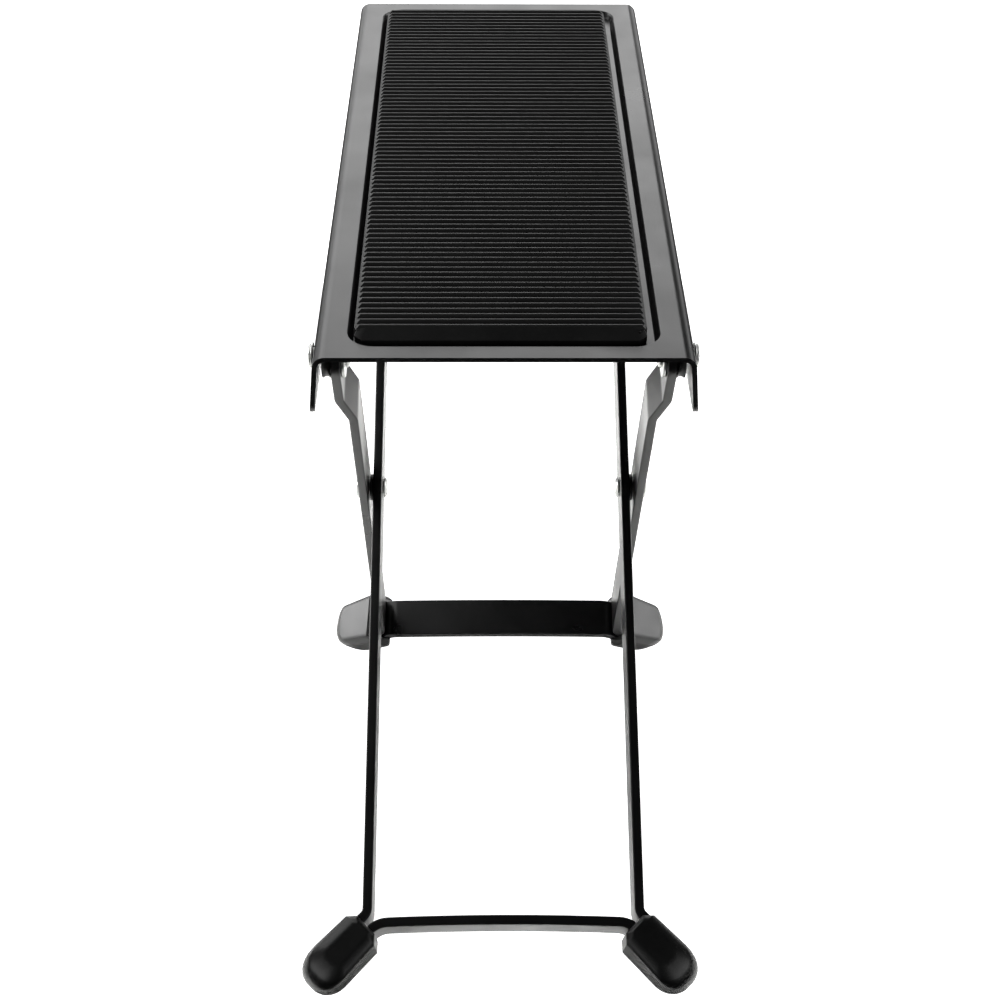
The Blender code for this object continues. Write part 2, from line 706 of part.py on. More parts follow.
def build_hinge_fittings(steel, nylon, rear_axis):
    """Rivet, washers and spacer at each end of the plate's hinge, on the rear frame."""
    flange_out = PLATE_WIDTH / 2
    flange_in = flange_out - SHEET
    leg_out = HINGE_HALF_SPAN
    leg_in = leg_out - BAR_THICKNESS
    hole = RIVET_SHANK / 2 + GAP
    washer_in = flange_out + GAP
    washer_out = washer_in + HINGE_WASHER_THICKNESS
    inner_out = leg_in - GAP
    inner_in = inner_out - INNER_WASHER_THICKNESS
    rivet = rivet_mesh(
        "plate_rivet", washer_out + GAP, HINGE_HEAD_HEIGHT, HINGE_HEAD / 2, inner_in - GAP
    )
    spacer_ends = (leg_out + GAP, flange_in - GAP)
    spacer = ring(hole, SPACER_DIAMETER / 2, *spacer_ends, waist=SPACER_WAIST / 2)
    at = (0.0, -REAR_UPPER_ARM, 0.0)
    pair("plate_rivet", rivet, steel, rear_axis, at)
    washer = mesh_of(ring(hole, HINGE_WASHER / 2, washer_in, washer_out), "plate_washer")
    pair("plate_washer", washer, steel, rear_axis, at)
    pair("plate_spacer", mesh_of(spacer, "plate_spacer"), nylon, rear_axis, at)
    inner = mesh_of(ring(hole, INNER_WASHER / 2, inner_in, inner_out), "plate_inner_washer")
    pair("plate_inner_washer", inner, steel, rear_axis, at)


def build_leg_fittings(steel, nylon, rear_axis):
    """Rivet and washer at each crossing of the two frames, on the rear frame."""
    outer_in = REAR_HALF_SPAN - BAR_THICKNESS
    inner_out = FRONT_HALF_SPAN
    inner_in = inner_out - BAR_THICKNESS
    rivet = rivet_mesh("leg_rivet", REAR_HALF_SPAN + GAP, LEG_HEAD_HEIGHT, LEG_HEAD / 2, inner_in - GAP)
    pair("leg_rivet", rivet, steel, rear_axis, (0.0, 0.0, 0.0))
    hole = RIVET_SHANK / 2 + GAP
    washer = mesh_of(ring(hole, LEG_WASHER / 2, inner_out + GAP, outer_in - GAP), "leg_washer")
    pair("leg_washer", washer, nylon, rear_axis, (0.0, 0.0, 0.0))


def build_catch_rod(steel, bright, front_axis):
    """The catch rod through the front frame's upper ends, held sideways by two push-on clips."""
    half = PLATE_WIDTH / 2 - ROD_OVERHANG
    radius = ROD_DIAMETER / 2
    end = radius - ROD_CHAMFER
    profile = [(-half, 0.0), (-half, end), (ROD_CHAMFER - half, radius)]
    profile += [(half - ROD_CHAMFER, radius), (half, end), (half, 0.0)]
    at = (0.0, -FRONT_UPPER_ARM, 0.0)
    place("catch_rod", mesh_of(turned(profile), "catch_rod"), steel, front_axis, at)
    leg_in = FRONT_HALF_SPAN - BAR_THICKNESS
    clip_out = leg_in - GAP
    clip = ring(radius + GAP, CLIP_DIAMETER / 2, clip_out - CLIP_THICKNESS, clip_out)
    pair("rod_clip", mesh_of(clip, "rod_clip"), bright, front_axis, at)


def lowest_point(part, axis, angle):
    """A part's lowest point as (y, z), with its frame turned to an angle about a pivot at `axis`."""
    turn = Matrix.Rotation(angle, 3, "X")
    best = None
    for vertex in part.data.vertices:
        point = turn @ (part.matrix_local @ vertex.co)
        spot = (axis[0] + point.y, axis[1] + point.z)
        if best is None or spot[1] < best[1]:
            best = spot
    return best


def standing_tilt(rear_cap, front_cap, rear, front):
    """The plate's slope when both pairs of feet stand on the floor."""
    tilt = 0.0
    pivot = (0.0, 0.0)
    for _ in range(TILT_ROUNDS):
        back = lowest_point(rear_cap, pivot, tilt - rear)
        fore = lowest_point(front_cap, pivot, tilt + front - math.pi)
        tilt -= math.atan2(back[1] - fore[1], back[0] - fore[0])
    return tilt


def world_box(parts):
    """The corners of the box round the parts, as they stand."""
    bpy.context.view_layer.update()
    spots = [part.matrix_world @ vertex.co for part in parts for vertex in part.data.vertices]
    low = Vector([min(p[i] for p in spots) for i in range(3)])
    high = Vector([max(p[i] for p in spots) for i in range(3)])
    return low, high


def build():
    """Make every sub-part and stand the footrest on the floor, centred on the origin."""
    clear_scene()
    coated = material("black_powder_coat", (0.022, 0.022, 0.023), 0.42, 0.0)
    rubber = material("black_rubber", (0.012, 0.012, 0.012), 0.6, 0.0)
    nylon = material("black_nylon", (0.010, 0.010, 0.010), 0.45, 0.0)
    zinc = material("zinc_plated_steel", (0.62, 0.62, 0.60), 0.3, 1.0)
    rear, front = leg_angles()
    stand = axis_empty("stand", None, (0.0, 0.0, 0.0), 0.0)
    rear_axis = axis_empty("rear_leg_axis", stand, (0.0, 0.0, 0.0), -rear)
    front_axis = axis_empty("front_leg_axis", stand, (0.0, 0.0, 0.0), front - math.pi)
    plate_axis = axis_empty("plate_axis", rear_axis, (0.0, -REAR_UPPER_ARM, 0.0), rear)
    plate_frame = axis_empty("plate_frame", plate_axis, (0.0, -HINGE_SETBACK, HINGE_DEPTH), 0.0)
    build_plate(coated, plate_frame)
    build_pad(rubber, plate_frame)
    build_rear_frame(coated, rear_axis)
    build_front_frame(coated, front_axis)
    caps = build_caps(rubber, {"rear": rear_axis, "front": front_axis})
    build_hinge_fittings(zinc, nylon, rear_axis)
    build_leg_fittings(zinc, nylon, rear_axis)
    build_catch_rod(coated, zinc, front_axis)
    bpy.context.view_layer.update()
    tilt = standing_tilt(caps[0], caps[2], rear, front)
    rear_axis.rotation_euler.x = tilt - rear
    front_axis.rotation_euler.x = tilt + front - math.pi
    parts = [part for part in bpy.data.objects if part.type == "MESH"]
    low, high = world_box(parts)
    stand.location = (-(low.x + high.x) / 2, -(low.y + high.y) / 2, -low.z)
    bpy.context.view_layer.update()


build()
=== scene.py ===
# %% [markdown]
# # A folding guitar footrest
#
# A guitarist sets one foot on this small steel stand. It has a pressed plate with a ribbed rubber
# pad, two crossed leg frames of flat bar, and soft caps on the four feet. We dress the packed
# solids piece by piece, and each piece is made in the way that suits how the real one was made.

import json
import math

import bmesh
import bpy
from mathutils import Matrix, Vector


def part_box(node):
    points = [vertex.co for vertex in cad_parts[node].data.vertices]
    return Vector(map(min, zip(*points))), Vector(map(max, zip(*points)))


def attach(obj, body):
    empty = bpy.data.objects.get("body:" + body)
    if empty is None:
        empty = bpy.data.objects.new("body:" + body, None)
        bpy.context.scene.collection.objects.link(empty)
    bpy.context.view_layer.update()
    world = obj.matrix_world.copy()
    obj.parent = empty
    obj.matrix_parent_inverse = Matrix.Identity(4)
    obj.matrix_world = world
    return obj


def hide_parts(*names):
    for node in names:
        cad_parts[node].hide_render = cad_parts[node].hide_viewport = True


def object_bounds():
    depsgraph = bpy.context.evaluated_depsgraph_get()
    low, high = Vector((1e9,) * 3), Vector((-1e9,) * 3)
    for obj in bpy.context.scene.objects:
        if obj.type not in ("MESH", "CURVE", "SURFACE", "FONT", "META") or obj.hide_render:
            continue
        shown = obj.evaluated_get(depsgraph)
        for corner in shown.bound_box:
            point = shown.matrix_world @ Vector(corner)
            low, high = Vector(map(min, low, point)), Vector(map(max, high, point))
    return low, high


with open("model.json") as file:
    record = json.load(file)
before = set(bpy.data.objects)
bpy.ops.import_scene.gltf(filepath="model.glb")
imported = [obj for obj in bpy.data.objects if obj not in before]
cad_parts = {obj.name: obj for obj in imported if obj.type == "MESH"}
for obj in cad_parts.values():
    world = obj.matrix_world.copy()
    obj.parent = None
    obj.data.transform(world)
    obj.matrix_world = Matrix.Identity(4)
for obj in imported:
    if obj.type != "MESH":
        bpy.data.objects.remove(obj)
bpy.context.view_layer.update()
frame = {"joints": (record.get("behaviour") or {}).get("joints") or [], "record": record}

# %% [markdown]
# ## Where things are
#
# The record holds the two hinge axes, and the solids give the catch rod. From these three points
# come the places of the leg frames. The plate's own place comes from the direction that its rim
# faces. Lengths below are written in millimetres, as on a drawing, and turned to metres once.

# %% Places and units
MM = 0.001


def place_at(origin, along, up=None):
    """A matrix with X across the footrest, Y along a piece, and Z square to both."""
    across = Vector((1.0, 0.0, 0.0))
    upward = up if up else across.cross(along.normalized())
    forward = upward.cross(across)
    turn = Matrix((across, forward, upward)).transposed().to_4x4()
    return Matrix.Translation(origin) @ turn


joints = {joint["name"]: joint for joint in frame["joints"]}
leg_pivot = Vector(joints["leg_fold"]["pos_m"])
plate_pivot = Vector(joints["plate_fold"]["pos_m"])
rod_low, rod_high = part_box("catch_rod")
rod_centre = (rod_low + rod_high) / 2
plate_up = Vector(frame["record"]["mounts"][0]["axis"]).normalized()

HINGE_SETBACK = 17.3 * MM
HINGE_DEPTH = 10.5 * MM
rear_place = place_at(leg_pivot, leg_pivot - plate_pivot)
front_place = place_at(leg_pivot, leg_pivot - rod_centre)
plate_turn = place_at(Vector(), None, plate_up)
plate_corner = plate_pivot + plate_turn @ Vector((0.0, -HINGE_SETBACK, HINGE_DEPTH))
plate_place = Matrix.Translation(plate_corner) @ plate_turn
REAR_UPPER_ARM = (leg_pivot - plate_pivot).length
FRONT_UPPER_ARM = (leg_pivot - rod_centre).length
print(f"upper arms {REAR_UPPER_ARM / MM:.1f} and {FRONT_UPPER_ARM / MM:.1f} mm")

# %% [markdown]
# ## The camera
#
# The photograph looks along the footrest from in front and above. Its view was worked out from the
# plate's edges, the legs and the feet: a lens of 62.6 mm on a 36 mm frame, tipped 28.1 degrees
# down.

# %% Camera
CAMERA_BACK = 461.71 * MM
CAMERA_ABOVE = 199.83 * MM
CAMERA_SIDE = -6.26 * MM
CAMERA_TIP = math.radians(28.069)
CAMERA_YAW = math.radians(-0.636)
CAMERA_ROLL = math.radians(0.278)
CAMERA_LENS = 62.62

view_data = bpy.data.cameras.new("view")
view_data.lens = CAMERA_LENS
view_data.sensor_width = 36.0
view_data.clip_start = 0.01
view_data.clip_end = 50.0
view = bpy.data.objects.new("view", view_data)
bpy.context.scene.collection.objects.link(view)
aim = Matrix.Rotation(CAMERA_YAW, 4, "Z") @ Matrix.Rotation(math.pi / 2 - CAMERA_TIP, 4, "X")
aim = aim @ Matrix.Rotation(CAMERA_ROLL, 4, "Z")
stand_point = plate_corner + Vector((CAMERA_SIDE, -CAMERA_BACK, CAMERA_ABOVE))
view.matrix_world = Matrix.Translation(stand_point) @ aim
bpy.context.scene.camera = view
print(f"camera {(plate_corner - stand_point).length / MM:.0f} mm from the plate's front edge")

# %% [markdown]
# ## A helper for nodes, and one for colours
#
# Every material and every Geometry Nodes tree is built from the same small call: it adds a node,
# sets its options, and fills or links its inputs. Colours are picked as on a screen, in sRGB hex,
# and the shader wants linear light, so one function converts them.

# %% Node and colour helpers
def add_node(tree, kind, inputs=None, **options):
    """Add a node, set its options, and fill each named input with a value or a link."""
    node = tree.nodes.new(kind)
    for name, value in options.items():
        setattr(node, name, value)
    for name, value in (inputs or {}).items():
        if isinstance(value, bpy.types.NodeSocket):
            tree.links.new(value, node.inputs[name])
        else:
            node.inputs[name].default_value = value
    return node


def linear(hex_colour):
    """An sRGB hex colour as linear red, green, blue and alpha."""
    parts = [int(hex_colour[i:i + 2], 16) / 255 for i in (1, 3, 5)]
    light = [c / 12.92 if c <= 0.04045 else ((c + 0.055) / 1.055) ** 2.4 for c in parts]
    return (*light, 1.0)


# %% [markdown]
# ## Material: black powder coat
#
# The plate and both frames are steel, coated with dry polyester powder that melts in an oven. The
# film flows out into a faint orange peel, waves of 1 to 2 mm, with a fine grain on top. It is a
# plastic skin, so it isn't metallic, and its gloss is satin.

# %% Powder coat
def black_powder_coat():
    made = bpy.data.materials.new("black_powder_coat")
    made.use_nodes = True
    tree = made.node_tree
    skin = tree.nodes["Principled BSDF"]
    skin.inputs["Base Color"].default_value = linear("#070708")
    skin.inputs["IOR"].default_value = 1.52
    where = add_node(tree, "ShaderNodeTexCoord").outputs["Object"]
    # Orange peel: waves about 1.6 mm long. Texture scale counts waves in a metre.
    peel = add_node(tree, "ShaderNodeTexNoise", {"Vector": where, "Scale": 620.0, "Detail": 1.0})
    grain = add_node(tree, "ShaderNodeTexNoise", {"Vector": where, "Scale": 2600.0, "Detail": 2.0})
    # The film is a little thicker and glossier in patches some 20 mm wide.
    cloud = add_node(tree, "ShaderNodeTexNoise", {"Vector": where, "Scale": 48.0, "Detail": 3.0})
    spread = {"From Min": 0.3, "From Max": 0.7, "To Min": 0.27, "To Max": 0.36}
    gloss = add_node(tree, "ShaderNodeMapRange", {"Value": cloud.outputs["Fac"], **spread})
    tree.links.new(gloss.outputs["Result"], skin.inputs["Roughness"])
    waves = add_node(
        tree,
        "ShaderNodeBump",
        {"Height": peel.outputs["Fac"], "Strength": 0.10, "Distance": 0.02 * MM},
    )
    bumps = add_node(
        tree,
        "ShaderNodeBump",
        {
            "Height": grain.outputs["Fac"],
            "Strength": 0.12,
            "Distance": 0.01 * MM,
            "Normal": waves.outputs["Normal"],
        },
    )
    tree.links.new(bumps.outputs["Normal"], skin.inputs["Normal"])
    return made


POWDER_COAT = black_powder_coat()
print("material:", POWDER_COAT.name)

# %% [markdown]
# ## Material: moulded rubber of the pad
#
# The pad is pressed from black rubber in a machined mould. Rubber is dull and dark, the mould
# leaves a fine texture, and handling leaves a trace of dust that lifts the colour in spots.

# %% Pad rubber
def moulded_rubber(name, colour, dust, roughness, grain_scale):
    made = bpy.data.materials.new(name)
    made.use_nodes = True
    tree = made.node_tree
    skin = tree.nodes["Principled BSDF"]
    skin.inputs["IOR"].default_value = 1.52
    where = add_node(tree, "ShaderNodeTexCoord").outputs["Object"]
    specks = add_node(tree, "ShaderNodeTexNoise", {"Vector": where, "Scale": 900.0, "Detail": 3.0})
    patches = add_node(tree, "ShaderNodeTexNoise", {"Vector": where, "Scale": 60.0, "Detail": 3.0})
    dusty = add_node(
        tree,
        "ShaderNodeMapRange",
        {"Value": specks.outputs["Fac"], "From Min": 0.52, "From Max": 0.75},
    )
    mix = add_node(tree, "ShaderNodeMix", {"Factor": dusty.outputs["Result"]}, data_type="RGBA")
    mix.inputs["A"].default_value = linear(colour)
    mix.inputs["B"].default_value = linear(dust)
    tree.links.new(mix.outputs["Result"], skin.inputs["Base Color"])
    spread = {"To Min": roughness - 0.05, "To Max": roughness + 0.05}
    wear = add_node(
        tree,
        "ShaderNodeMapRange",
        {"Value": patches.outputs["Fac"], "From Min": 0.3, "From Max": 0.7, **spread},
    )
    tree.links.new(wear.outputs["Result"], skin.inputs["Roughness"])
    grain = add_node(
        tree, "ShaderNodeTexNoise", {"Vector": where, "Scale": grain_scale, "Detail": 2.0}
    )
    bumps = add_node(
        tree,
        "ShaderNodeBump",
        {"Height": grain.outputs["Fac"], "Strength": 0.2, "Distance": 0.03 * MM},
    )
    tree.links.new(bumps.outputs["Normal"], skin.inputs["Normal"])
    return made


PAD_RUBBER = moulded_rubber("pad_rubber", "#040404", "#10100f", 0.46, 1800.0)
print("material:", PAD_RUBBER.name)

# %% [markdown]
# ## Material: the foot caps
#
# The caps are softer vinyl rubber from a polished mould, so they shine more than the pad.

# %% Cap rubber
CAP_RUBBER = moulded_rubber("cap_rubber", "#060606", "#0e0e0e", 0.36, 1400.0)
print("material:", CAP_RUBBER.name)

# %% [markdown]
# ## Materials: nylon and zinc
#
# Spacers and the washers between the frames are moulded nylon. Rivets, clips and outer washers are
# steel with bright zinc plating: a thin silvery metal layer with a slight blue cast and fine lines
# from the turning and stamping under it.

# %% Nylon and zinc plate
BLACK_NYLON = moulded_rubber("black_nylon", "#050505", "#0b0b0b", 0.42, 2200.0)


def zinc_plate():
    made = bpy.data.materials.new("zinc_plate")
    made.use_nodes = True
    tree = made.node_tree
    skin = tree.nodes["Principled BSDF"]
    skin.inputs["Metallic"].default_value = 1.0
    where = add_node(tree, "ShaderNodeTexCoord").outputs["Object"]
    tint = add_node(tree, "ShaderNodeTexNoise", {"Vector": where, "Scale": 400.0, "Detail": 2.0})
    mix = add_node(tree, "ShaderNodeMix", {"Factor": tint.outputs["Fac"]}, data_type="RGBA")
    mix.inputs["A"].default_value = linear("#c3c6c8")
    mix.inputs["B"].default_value = linear("#d9d8d2")
    tree.links.new(mix.outputs["Result"], skin.inputs["Base Color"])
    scuffs = add_node(tree, "ShaderNodeTexNoise", {"Vector": where, "Scale": 1500.0, "Detail": 3.0})
    dull = add_node(
        tree, "ShaderNodeMapRange", {"Value": scuffs.outputs["Fac"], "To Min": 0.26, "To Max": 0.46}
    )
    tree.links.new(dull.outputs["Result"], skin.inputs["Roughness"])
    bumps = add_node(
        tree,
        "ShaderNodeBump",
        {"Height": scuffs.outputs["Fac"], "Strength": 0.02, "Distance": 0.02 * MM},
    )
    tree.links.new(bumps.outputs["Normal"], skin.inputs["Normal"])
    return made


ZINC_PLATE = zinc_plate()
print("materials:", BLACK_NYLON.name, ZINC_PLATE.name)

# %% [markdown]
# ## Mesh helpers
#
# A path with rounded corners serves for every bent bar and cut outline. A loft joins rings of
# points with faces, for the plate, the pad and the caps. A lathe turns a profile about the hinge
# axis. The last helper moves a mesh into its place in the footrest, so that the finished object
# itself stays at the origin, unturned.

# %% Mesh helpers
ARC_STEP = math.radians(7.5)


def rounded_path(corners, radii):
    """An open path through corners, each inner corner turned on its own radius."""
    path = [Vector(corners[0])]
    for before, corner, after, radius in zip(corners, corners[1:], corners[2:], radii):
        corner = Vector(corner)
        back = (Vector(before) - corner).normalized()
        ahead = (Vector(after) - corner).normalized()
        turn = math.pi - back.angle(ahead)
        if radius <= 0.0 or turn < 1e-4:
            path.append(corner)
            continue
        centre = corner + (back + ahead).normalized() * (radius / math.cos(turn / 2))
        start = corner + back * radius * math.tan(turn / 2) - centre
        way = 1.0 if back.x * ahead.y - back.y * ahead.x < 0.0 else -1.0
        steps = max(2, math.ceil(turn / ARC_STEP))
        for step in range(steps + 1):
            spoke = start.copy()
            spoke.rotate(Matrix.Rotation(way * turn * step / steps, 2))
            path.append(centre + spoke)
    path.append(Vector(corners[-1]))
    return path


def tidy(work, name):
    """Turn a bmesh into a mesh, with doubles merged and faces outwards."""
    bmesh.ops.remove_doubles(work, verts=work.verts, dist=0.001 * MM)
    bmesh.ops.recalc_face_normals(work, faces=work.faces)
    mesh = bpy.data.meshes.new(name)
    work.to_mesh(mesh)
    work.free()
    return mesh


def loft(work, rings, first_closed=True):
    """Join rings of points with faces, and close the last ring and, as a rule, the first."""
    rings = [[work.verts.new(point) for point in ring] for ring in rings]
    for low, high in zip(rings, rings[1:]):
        for i in range(len(low)):
            j = (i + 1) % len(low)
            work.faces.new((low[i], low[j], high[j], high[i]))
    if first_closed:
        work.faces.new(rings[0])
    work.faces.new(rings[-1])
    return rings


def lathe(name, profile, closed=False, steps=48):
    """Turn (x, radius) points about the X axis."""
    work = bmesh.new()
    points = [work.verts.new((x, 0.0, radius)) for x, radius in profile]
    following = points[1:] + points[:1] if closed else points[1:]
    edges = [work.edges.new(ends) for ends in zip(points, following)]
    bmesh.ops.spin(
        work,
        geom=points + edges,
        cent=(0.0, 0.0, 0.0),
        axis=(1.0, 0.0, 0.0),
        angle=math.tau,
        steps=steps,
        use_merge=True,
    )
    return tidy(work, name)


def show(name, mesh):
    """Link a mesh as a new object."""
    made = bpy.data.objects.new(name, mesh)
    bpy.context.scene.collection.objects.link(made)
    return made


def add_bevel(item, width, segments, angle=50.0):
    """Round an object's edges where its faces turn by more than an angle."""
    bevel = item.modifiers.new("edges", "BEVEL")
    bevel.width = width
    bevel.segments = segments
    bevel.limit_method = "ANGLE"
    bevel.angle_limit = math.radians(angle)
    bevel.harden_normals = False


def applied(item):
    """The mesh that an object's modifiers make. The modifiers go."""
    graph = bpy.context.evaluated_depsgraph_get()
    mesh = bpy.data.meshes.new_from_object(item.evaluated_get(graph))
    item.modifiers.clear()
    mesh.name = item.name
    return mesh


def settle(item, place, surface=None, smooth_angle=40.0):
    """Apply an object's modifiers, move its mesh into place, and smooth its round stretches."""
    mesh = applied(item)
    mesh.transform(place)
    if surface:
        mesh.materials.clear()
        mesh.materials.append(surface)
    mesh.shade_smooth()
    mesh.set_sharp_from_angle(angle=math.radians(smooth_angle))
    item.data = mesh
    # Large faces keep their own direction right up to a rounded edge, so they look flat.
    flatten = item.modifiers.new("flat_faces", "WEIGHTED_NORMAL")
    flatten.keep_sharp = True
    mesh = applied(item)
    item.data = mesh
    print(f"{item.name}: {len(mesh.polygons)} faces")
    return item


# %% [markdown]
# ## Geometry Nodes: copies in a row
#
# Ribs on the pad, the two rivets of a hinge and the two caps of a frame are all copies of one
# shape at even steps, each turned a little further than the one before. One small tree does them
# all: it puts points on a line, sets a copy on each, turns copy number n by n steps, and realizes
# the result.

# %% The row tree
def start_tree(name, sizes):
    """A tree with Geometry in and out, and an input for each of its sizes and for its surface."""
    tree = bpy.data.node_groups.new(name, "GeometryNodeTree")
    inputs = (("Geometry", "Geometry"), *sizes, ("Surface", "Material"))
    for label, kind in inputs:
        tree.interface.new_socket(label, in_out="INPUT", socket_type="NodeSocket" + kind)
    tree.interface.new_socket("Geometry", in_out="OUTPUT", socket_type="NodeSocketGeometry")
    return tree, add_node(tree, "NodeGroupInput").outputs


def end_tree(tree, shape, surface):
    """Make copies real, give them their surface and hand them out."""
    real = add_node(tree, "GeometryNodeRealizeInstances", {"Geometry": shape})
    coated = add_node(
        tree,
        "GeometryNodeSetMaterial",
        {"Geometry": real.outputs["Geometry"], "Material": surface},
    )
    add_node(tree, "NodeGroupOutput", {"Geometry": coated.outputs["Geometry"]})


def row_tree():
    """Copies of the incoming shape along a line, each turned by one more step."""
    sizes = [("Count", "Int")]
    sizes += [(label, "Vector") for label in ("First place", "Step", "First turn", "Turn step")]
    tree, given = start_tree("row_of_copies", sizes)
    line = add_node(
        tree,
        "GeometryNodeMeshLine",
        {"Count": given["Count"], "Start Location": given["First place"], "Offset": given["Step"]},
        mode="OFFSET",
    )
    number = add_node(tree, "GeometryNodeInputIndex")
    turn = add_node(
        tree,
        "ShaderNodeVectorMath",
        {0: number.outputs["Index"], 1: given["Turn step"], 2: given["First turn"]},
        operation="MULTIPLY_ADD",
    )
    copies = add_node(
        tree,
        "GeometryNodeInstanceOnPoints",
        {
            "Points": line.outputs["Mesh"],
            "Instance": given["Geometry"],
            "Rotation": turn.outputs[0],
        },
    )
    end_tree(tree, copies.outputs["Instances"], given["Surface"])
    return tree


ROW_TREE = row_tree()


def run_tree(item, tree, **values):
    """Add a Geometry Nodes modifier and set its inputs by their sockets' identifiers."""
    nodes = item.modifiers.new(tree.name, "NODES")
    nodes.node_group = tree
    wanted = {name.replace("_", " ").capitalize(): value for name, value in values.items()}
    for socket in tree.interface.items_tree:
        if socket.item_type == "SOCKET" and socket.in_out == "INPUT" and socket.name in wanted:
            nodes[socket.identifier] = wanted.pop(socket.name)
    assert not wanted, f"no such input: {wanted}"


def mirrored_pair(name, mesh, place, surface):
    """The right-hand shape and its copy turned half round, on both sides of the footrest."""
    item = show(name, mesh)
    run_tree(
        item,
        ROW_TREE,
        count=2,
        first_place=(0.0, 0.0, 0.0),
        step=(0.0, 0.0, 0.0),
        first_turn=(0.0, 0.0, 0.0),
        turn_step=(0.0, 0.0, math.pi),
        surface=surface,
    )
    return settle(item, place, smooth_angle=30.0)


# %% [markdown]
# ## The pressed plate
#
# One steel sheet, 1.5 mm thick, is drawn into a shallow tray with a rolled wall, bent down along
# both sides, and cut to an outline with a round lug at the hinge and five notches for the rod. The
# steel springs back a little after the bend, so the two flanges stand 5.5 degrees open. We build
# it as a press would: first the sheet with both its faces, then the cut, and last the soft edges
# that powder leaves on sheared steel.

# %% Plate sizes
PLATE_LENGTH = 262.0 * MM
PLATE_WIDTH = 111.8 * MM
SHEET = 1.5 * MM
PLATE_BEND = 3.9 * MM
FLANGE_SPLAY = math.radians(5.5)
TRAY_END_MARGIN = 6.0 * MM
TRAY_SIDE_MARGIN = 9.5 * MM
TRAY_DEPTH = 2.5 * MM
TRAY_WALL = 2.1 * MM
TRAY_CORNER = 8.5 * MM
TRAY_FLOOR_CORNER = 3.5 * MM
UNDER_WALL_SHIFT = 0.9 * MM
LUG_DEPTH = 20.8 * MM
LUG_LENGTH = 34.0 * MM
CORNER_STEPS = 16
WALL_STEPS = 12
BEND_STEPS = 10

# %% Tray wall and rim as rings of points
def tray_ring(inset, height, radius):
    """One level of the tray's wall: a rectangle with round corners."""
    half_x = PLATE_WIDTH / 2 - TRAY_SIDE_MARGIN - inset
    low_y = TRAY_END_MARGIN + inset
    high_y = PLATE_LENGTH - TRAY_END_MARGIN - inset
    ring = []
    for quarter, side, end in ((0, 1, high_y), (1, -1, high_y), (2, -1, low_y), (3, 1, low_y)):
        centre_x = side * (half_x - radius)
        centre_y = end - radius if quarter < 2 else end + radius
        for step in range(CORNER_STEPS + 1):
            angle = (quarter + step / CORNER_STEPS) * math.pi / 2
            x, y = centre_x + radius * math.cos(angle), centre_y + radius * math.sin(angle)
            ring.append((x, y, height))
    return ring


def rim_ring(height):
    """The edge of the flat top, with a point for each point of the tray."""
    half_x = PLATE_WIDTH / 2 - PLATE_BEND
    ring = []
    for index, (x, y, _) in enumerate(tray_ring(0.0, 0.0, TRAY_CORNER)):
        quarter, step = divmod(index, CORNER_STEPS + 1)
        side = math.copysign(half_x, x)
        end = PLATE_LENGTH if quarter < 2 else 0.0
        on_side = (step < CORNER_STEPS // 2) == (quarter in (0, 2))
        if step == CORNER_STEPS // 2:
            ring.append((side, end, height))
        elif on_side:
            ring.append((side, y, height))
        else:
            ring.append((x, end, height))
    return ring


def wall_rings(height, shift):
    """The rolled wall from rim to floor, as an S curve."""
    for step in range(WALL_STEPS + 1):
        share = step / WALL_STEPS
        drop = TRAY_DEPTH * (1 - math.cos(math.pi * share)) / 2
        radius = TRAY_CORNER + share * (TRAY_FLOOR_CORNER - TRAY_CORNER)
        yield tray_ring(TRAY_WALL * share - shift, height - drop, radius + shift)


# %% One face of the sheet, and the sheet with both
def sheet_face(work, height, bend, shift):
    """One face of the sheet: rim, tray wall and tray floor, and a flange on each side."""
    rim = loft(work, [rim_ring(height), *wall_rings(height, shift)], first_closed=False)[0]
    half_x = PLATE_WIDTH / 2 - PLATE_BEND
    for side in (1, -1):
        row = sorted(
            (v for v in rim if abs(v.co.x - side * half_x) < 0.01 * MM),
            key=lambda v: side * v.co.y,
        )
        levels = []
        for step in range(1, BEND_STEPS + 1):
            angle = step / BEND_STEPS * (math.pi / 2 - FLANGE_SPLAY)
            x = half_x + bend * math.sin(angle)
            levels.append((side * x, height - bend * (1 - math.cos(angle))))
        x += (levels[-1][1] + LUG_DEPTH) * math.tan(FLANGE_SPLAY)
        levels.append((side * x, -LUG_DEPTH))
        for x, z in levels:
            fresh = [work.verts.new((x, v.co.y, z)) for v in row]
            for i in range(len(row) - 1):
                work.faces.new((row[i], row[i + 1], fresh[i + 1], fresh[i]))
            row = fresh


def pressed_sheet():
    work = bmesh.new()
    sheet_face(work, 0.0, PLATE_BEND, 0.0)
    sheet_face(work, -SHEET, PLATE_BEND - SHEET, UNDER_WALL_SHIFT)
    bmesh.ops.bridge_loops(work, edges=[e for e in work.edges if e.is_boundary])
    return tidy(work, "pressed_plate")


# %% [markdown]
# The flange outline is a cutting die in reverse: everything below it is waste. The rod rests in
# the notch that is nearest the front. The tooth behind that notch is lower, so that the rod can
# leave it.

# %% The outline of the flanges
NOTCH_FIRST = 180.3 * MM
NOTCH_PITCH = 13.0 * MM
ROD_DEPTH = 13.0 * MM
NOTCH_RADIUS = 3.3 * MM
TOOTH_DEPTH = ROD_DEPTH + 0.5 * MM
TOOTH_TIP = 1.2 * MM
NOTCH_COUNT = 5
NOTCH_STEPS = 12
NOTCH_LEAN = math.radians(32.0)
LEAVING_SLOPE = math.radians(14.217)
LUG_CORNER = 4.0 * MM
SWEEP_END = 44.0 * MM
SWEEP_RADIUS = 7.0 * MM
RACK_START = 167.3 * MM
TAIL_RUN = 9.0 * MM
TAIL_DEPTH = 9.5 * MM
TAIL_CORNER = 3.0 * MM


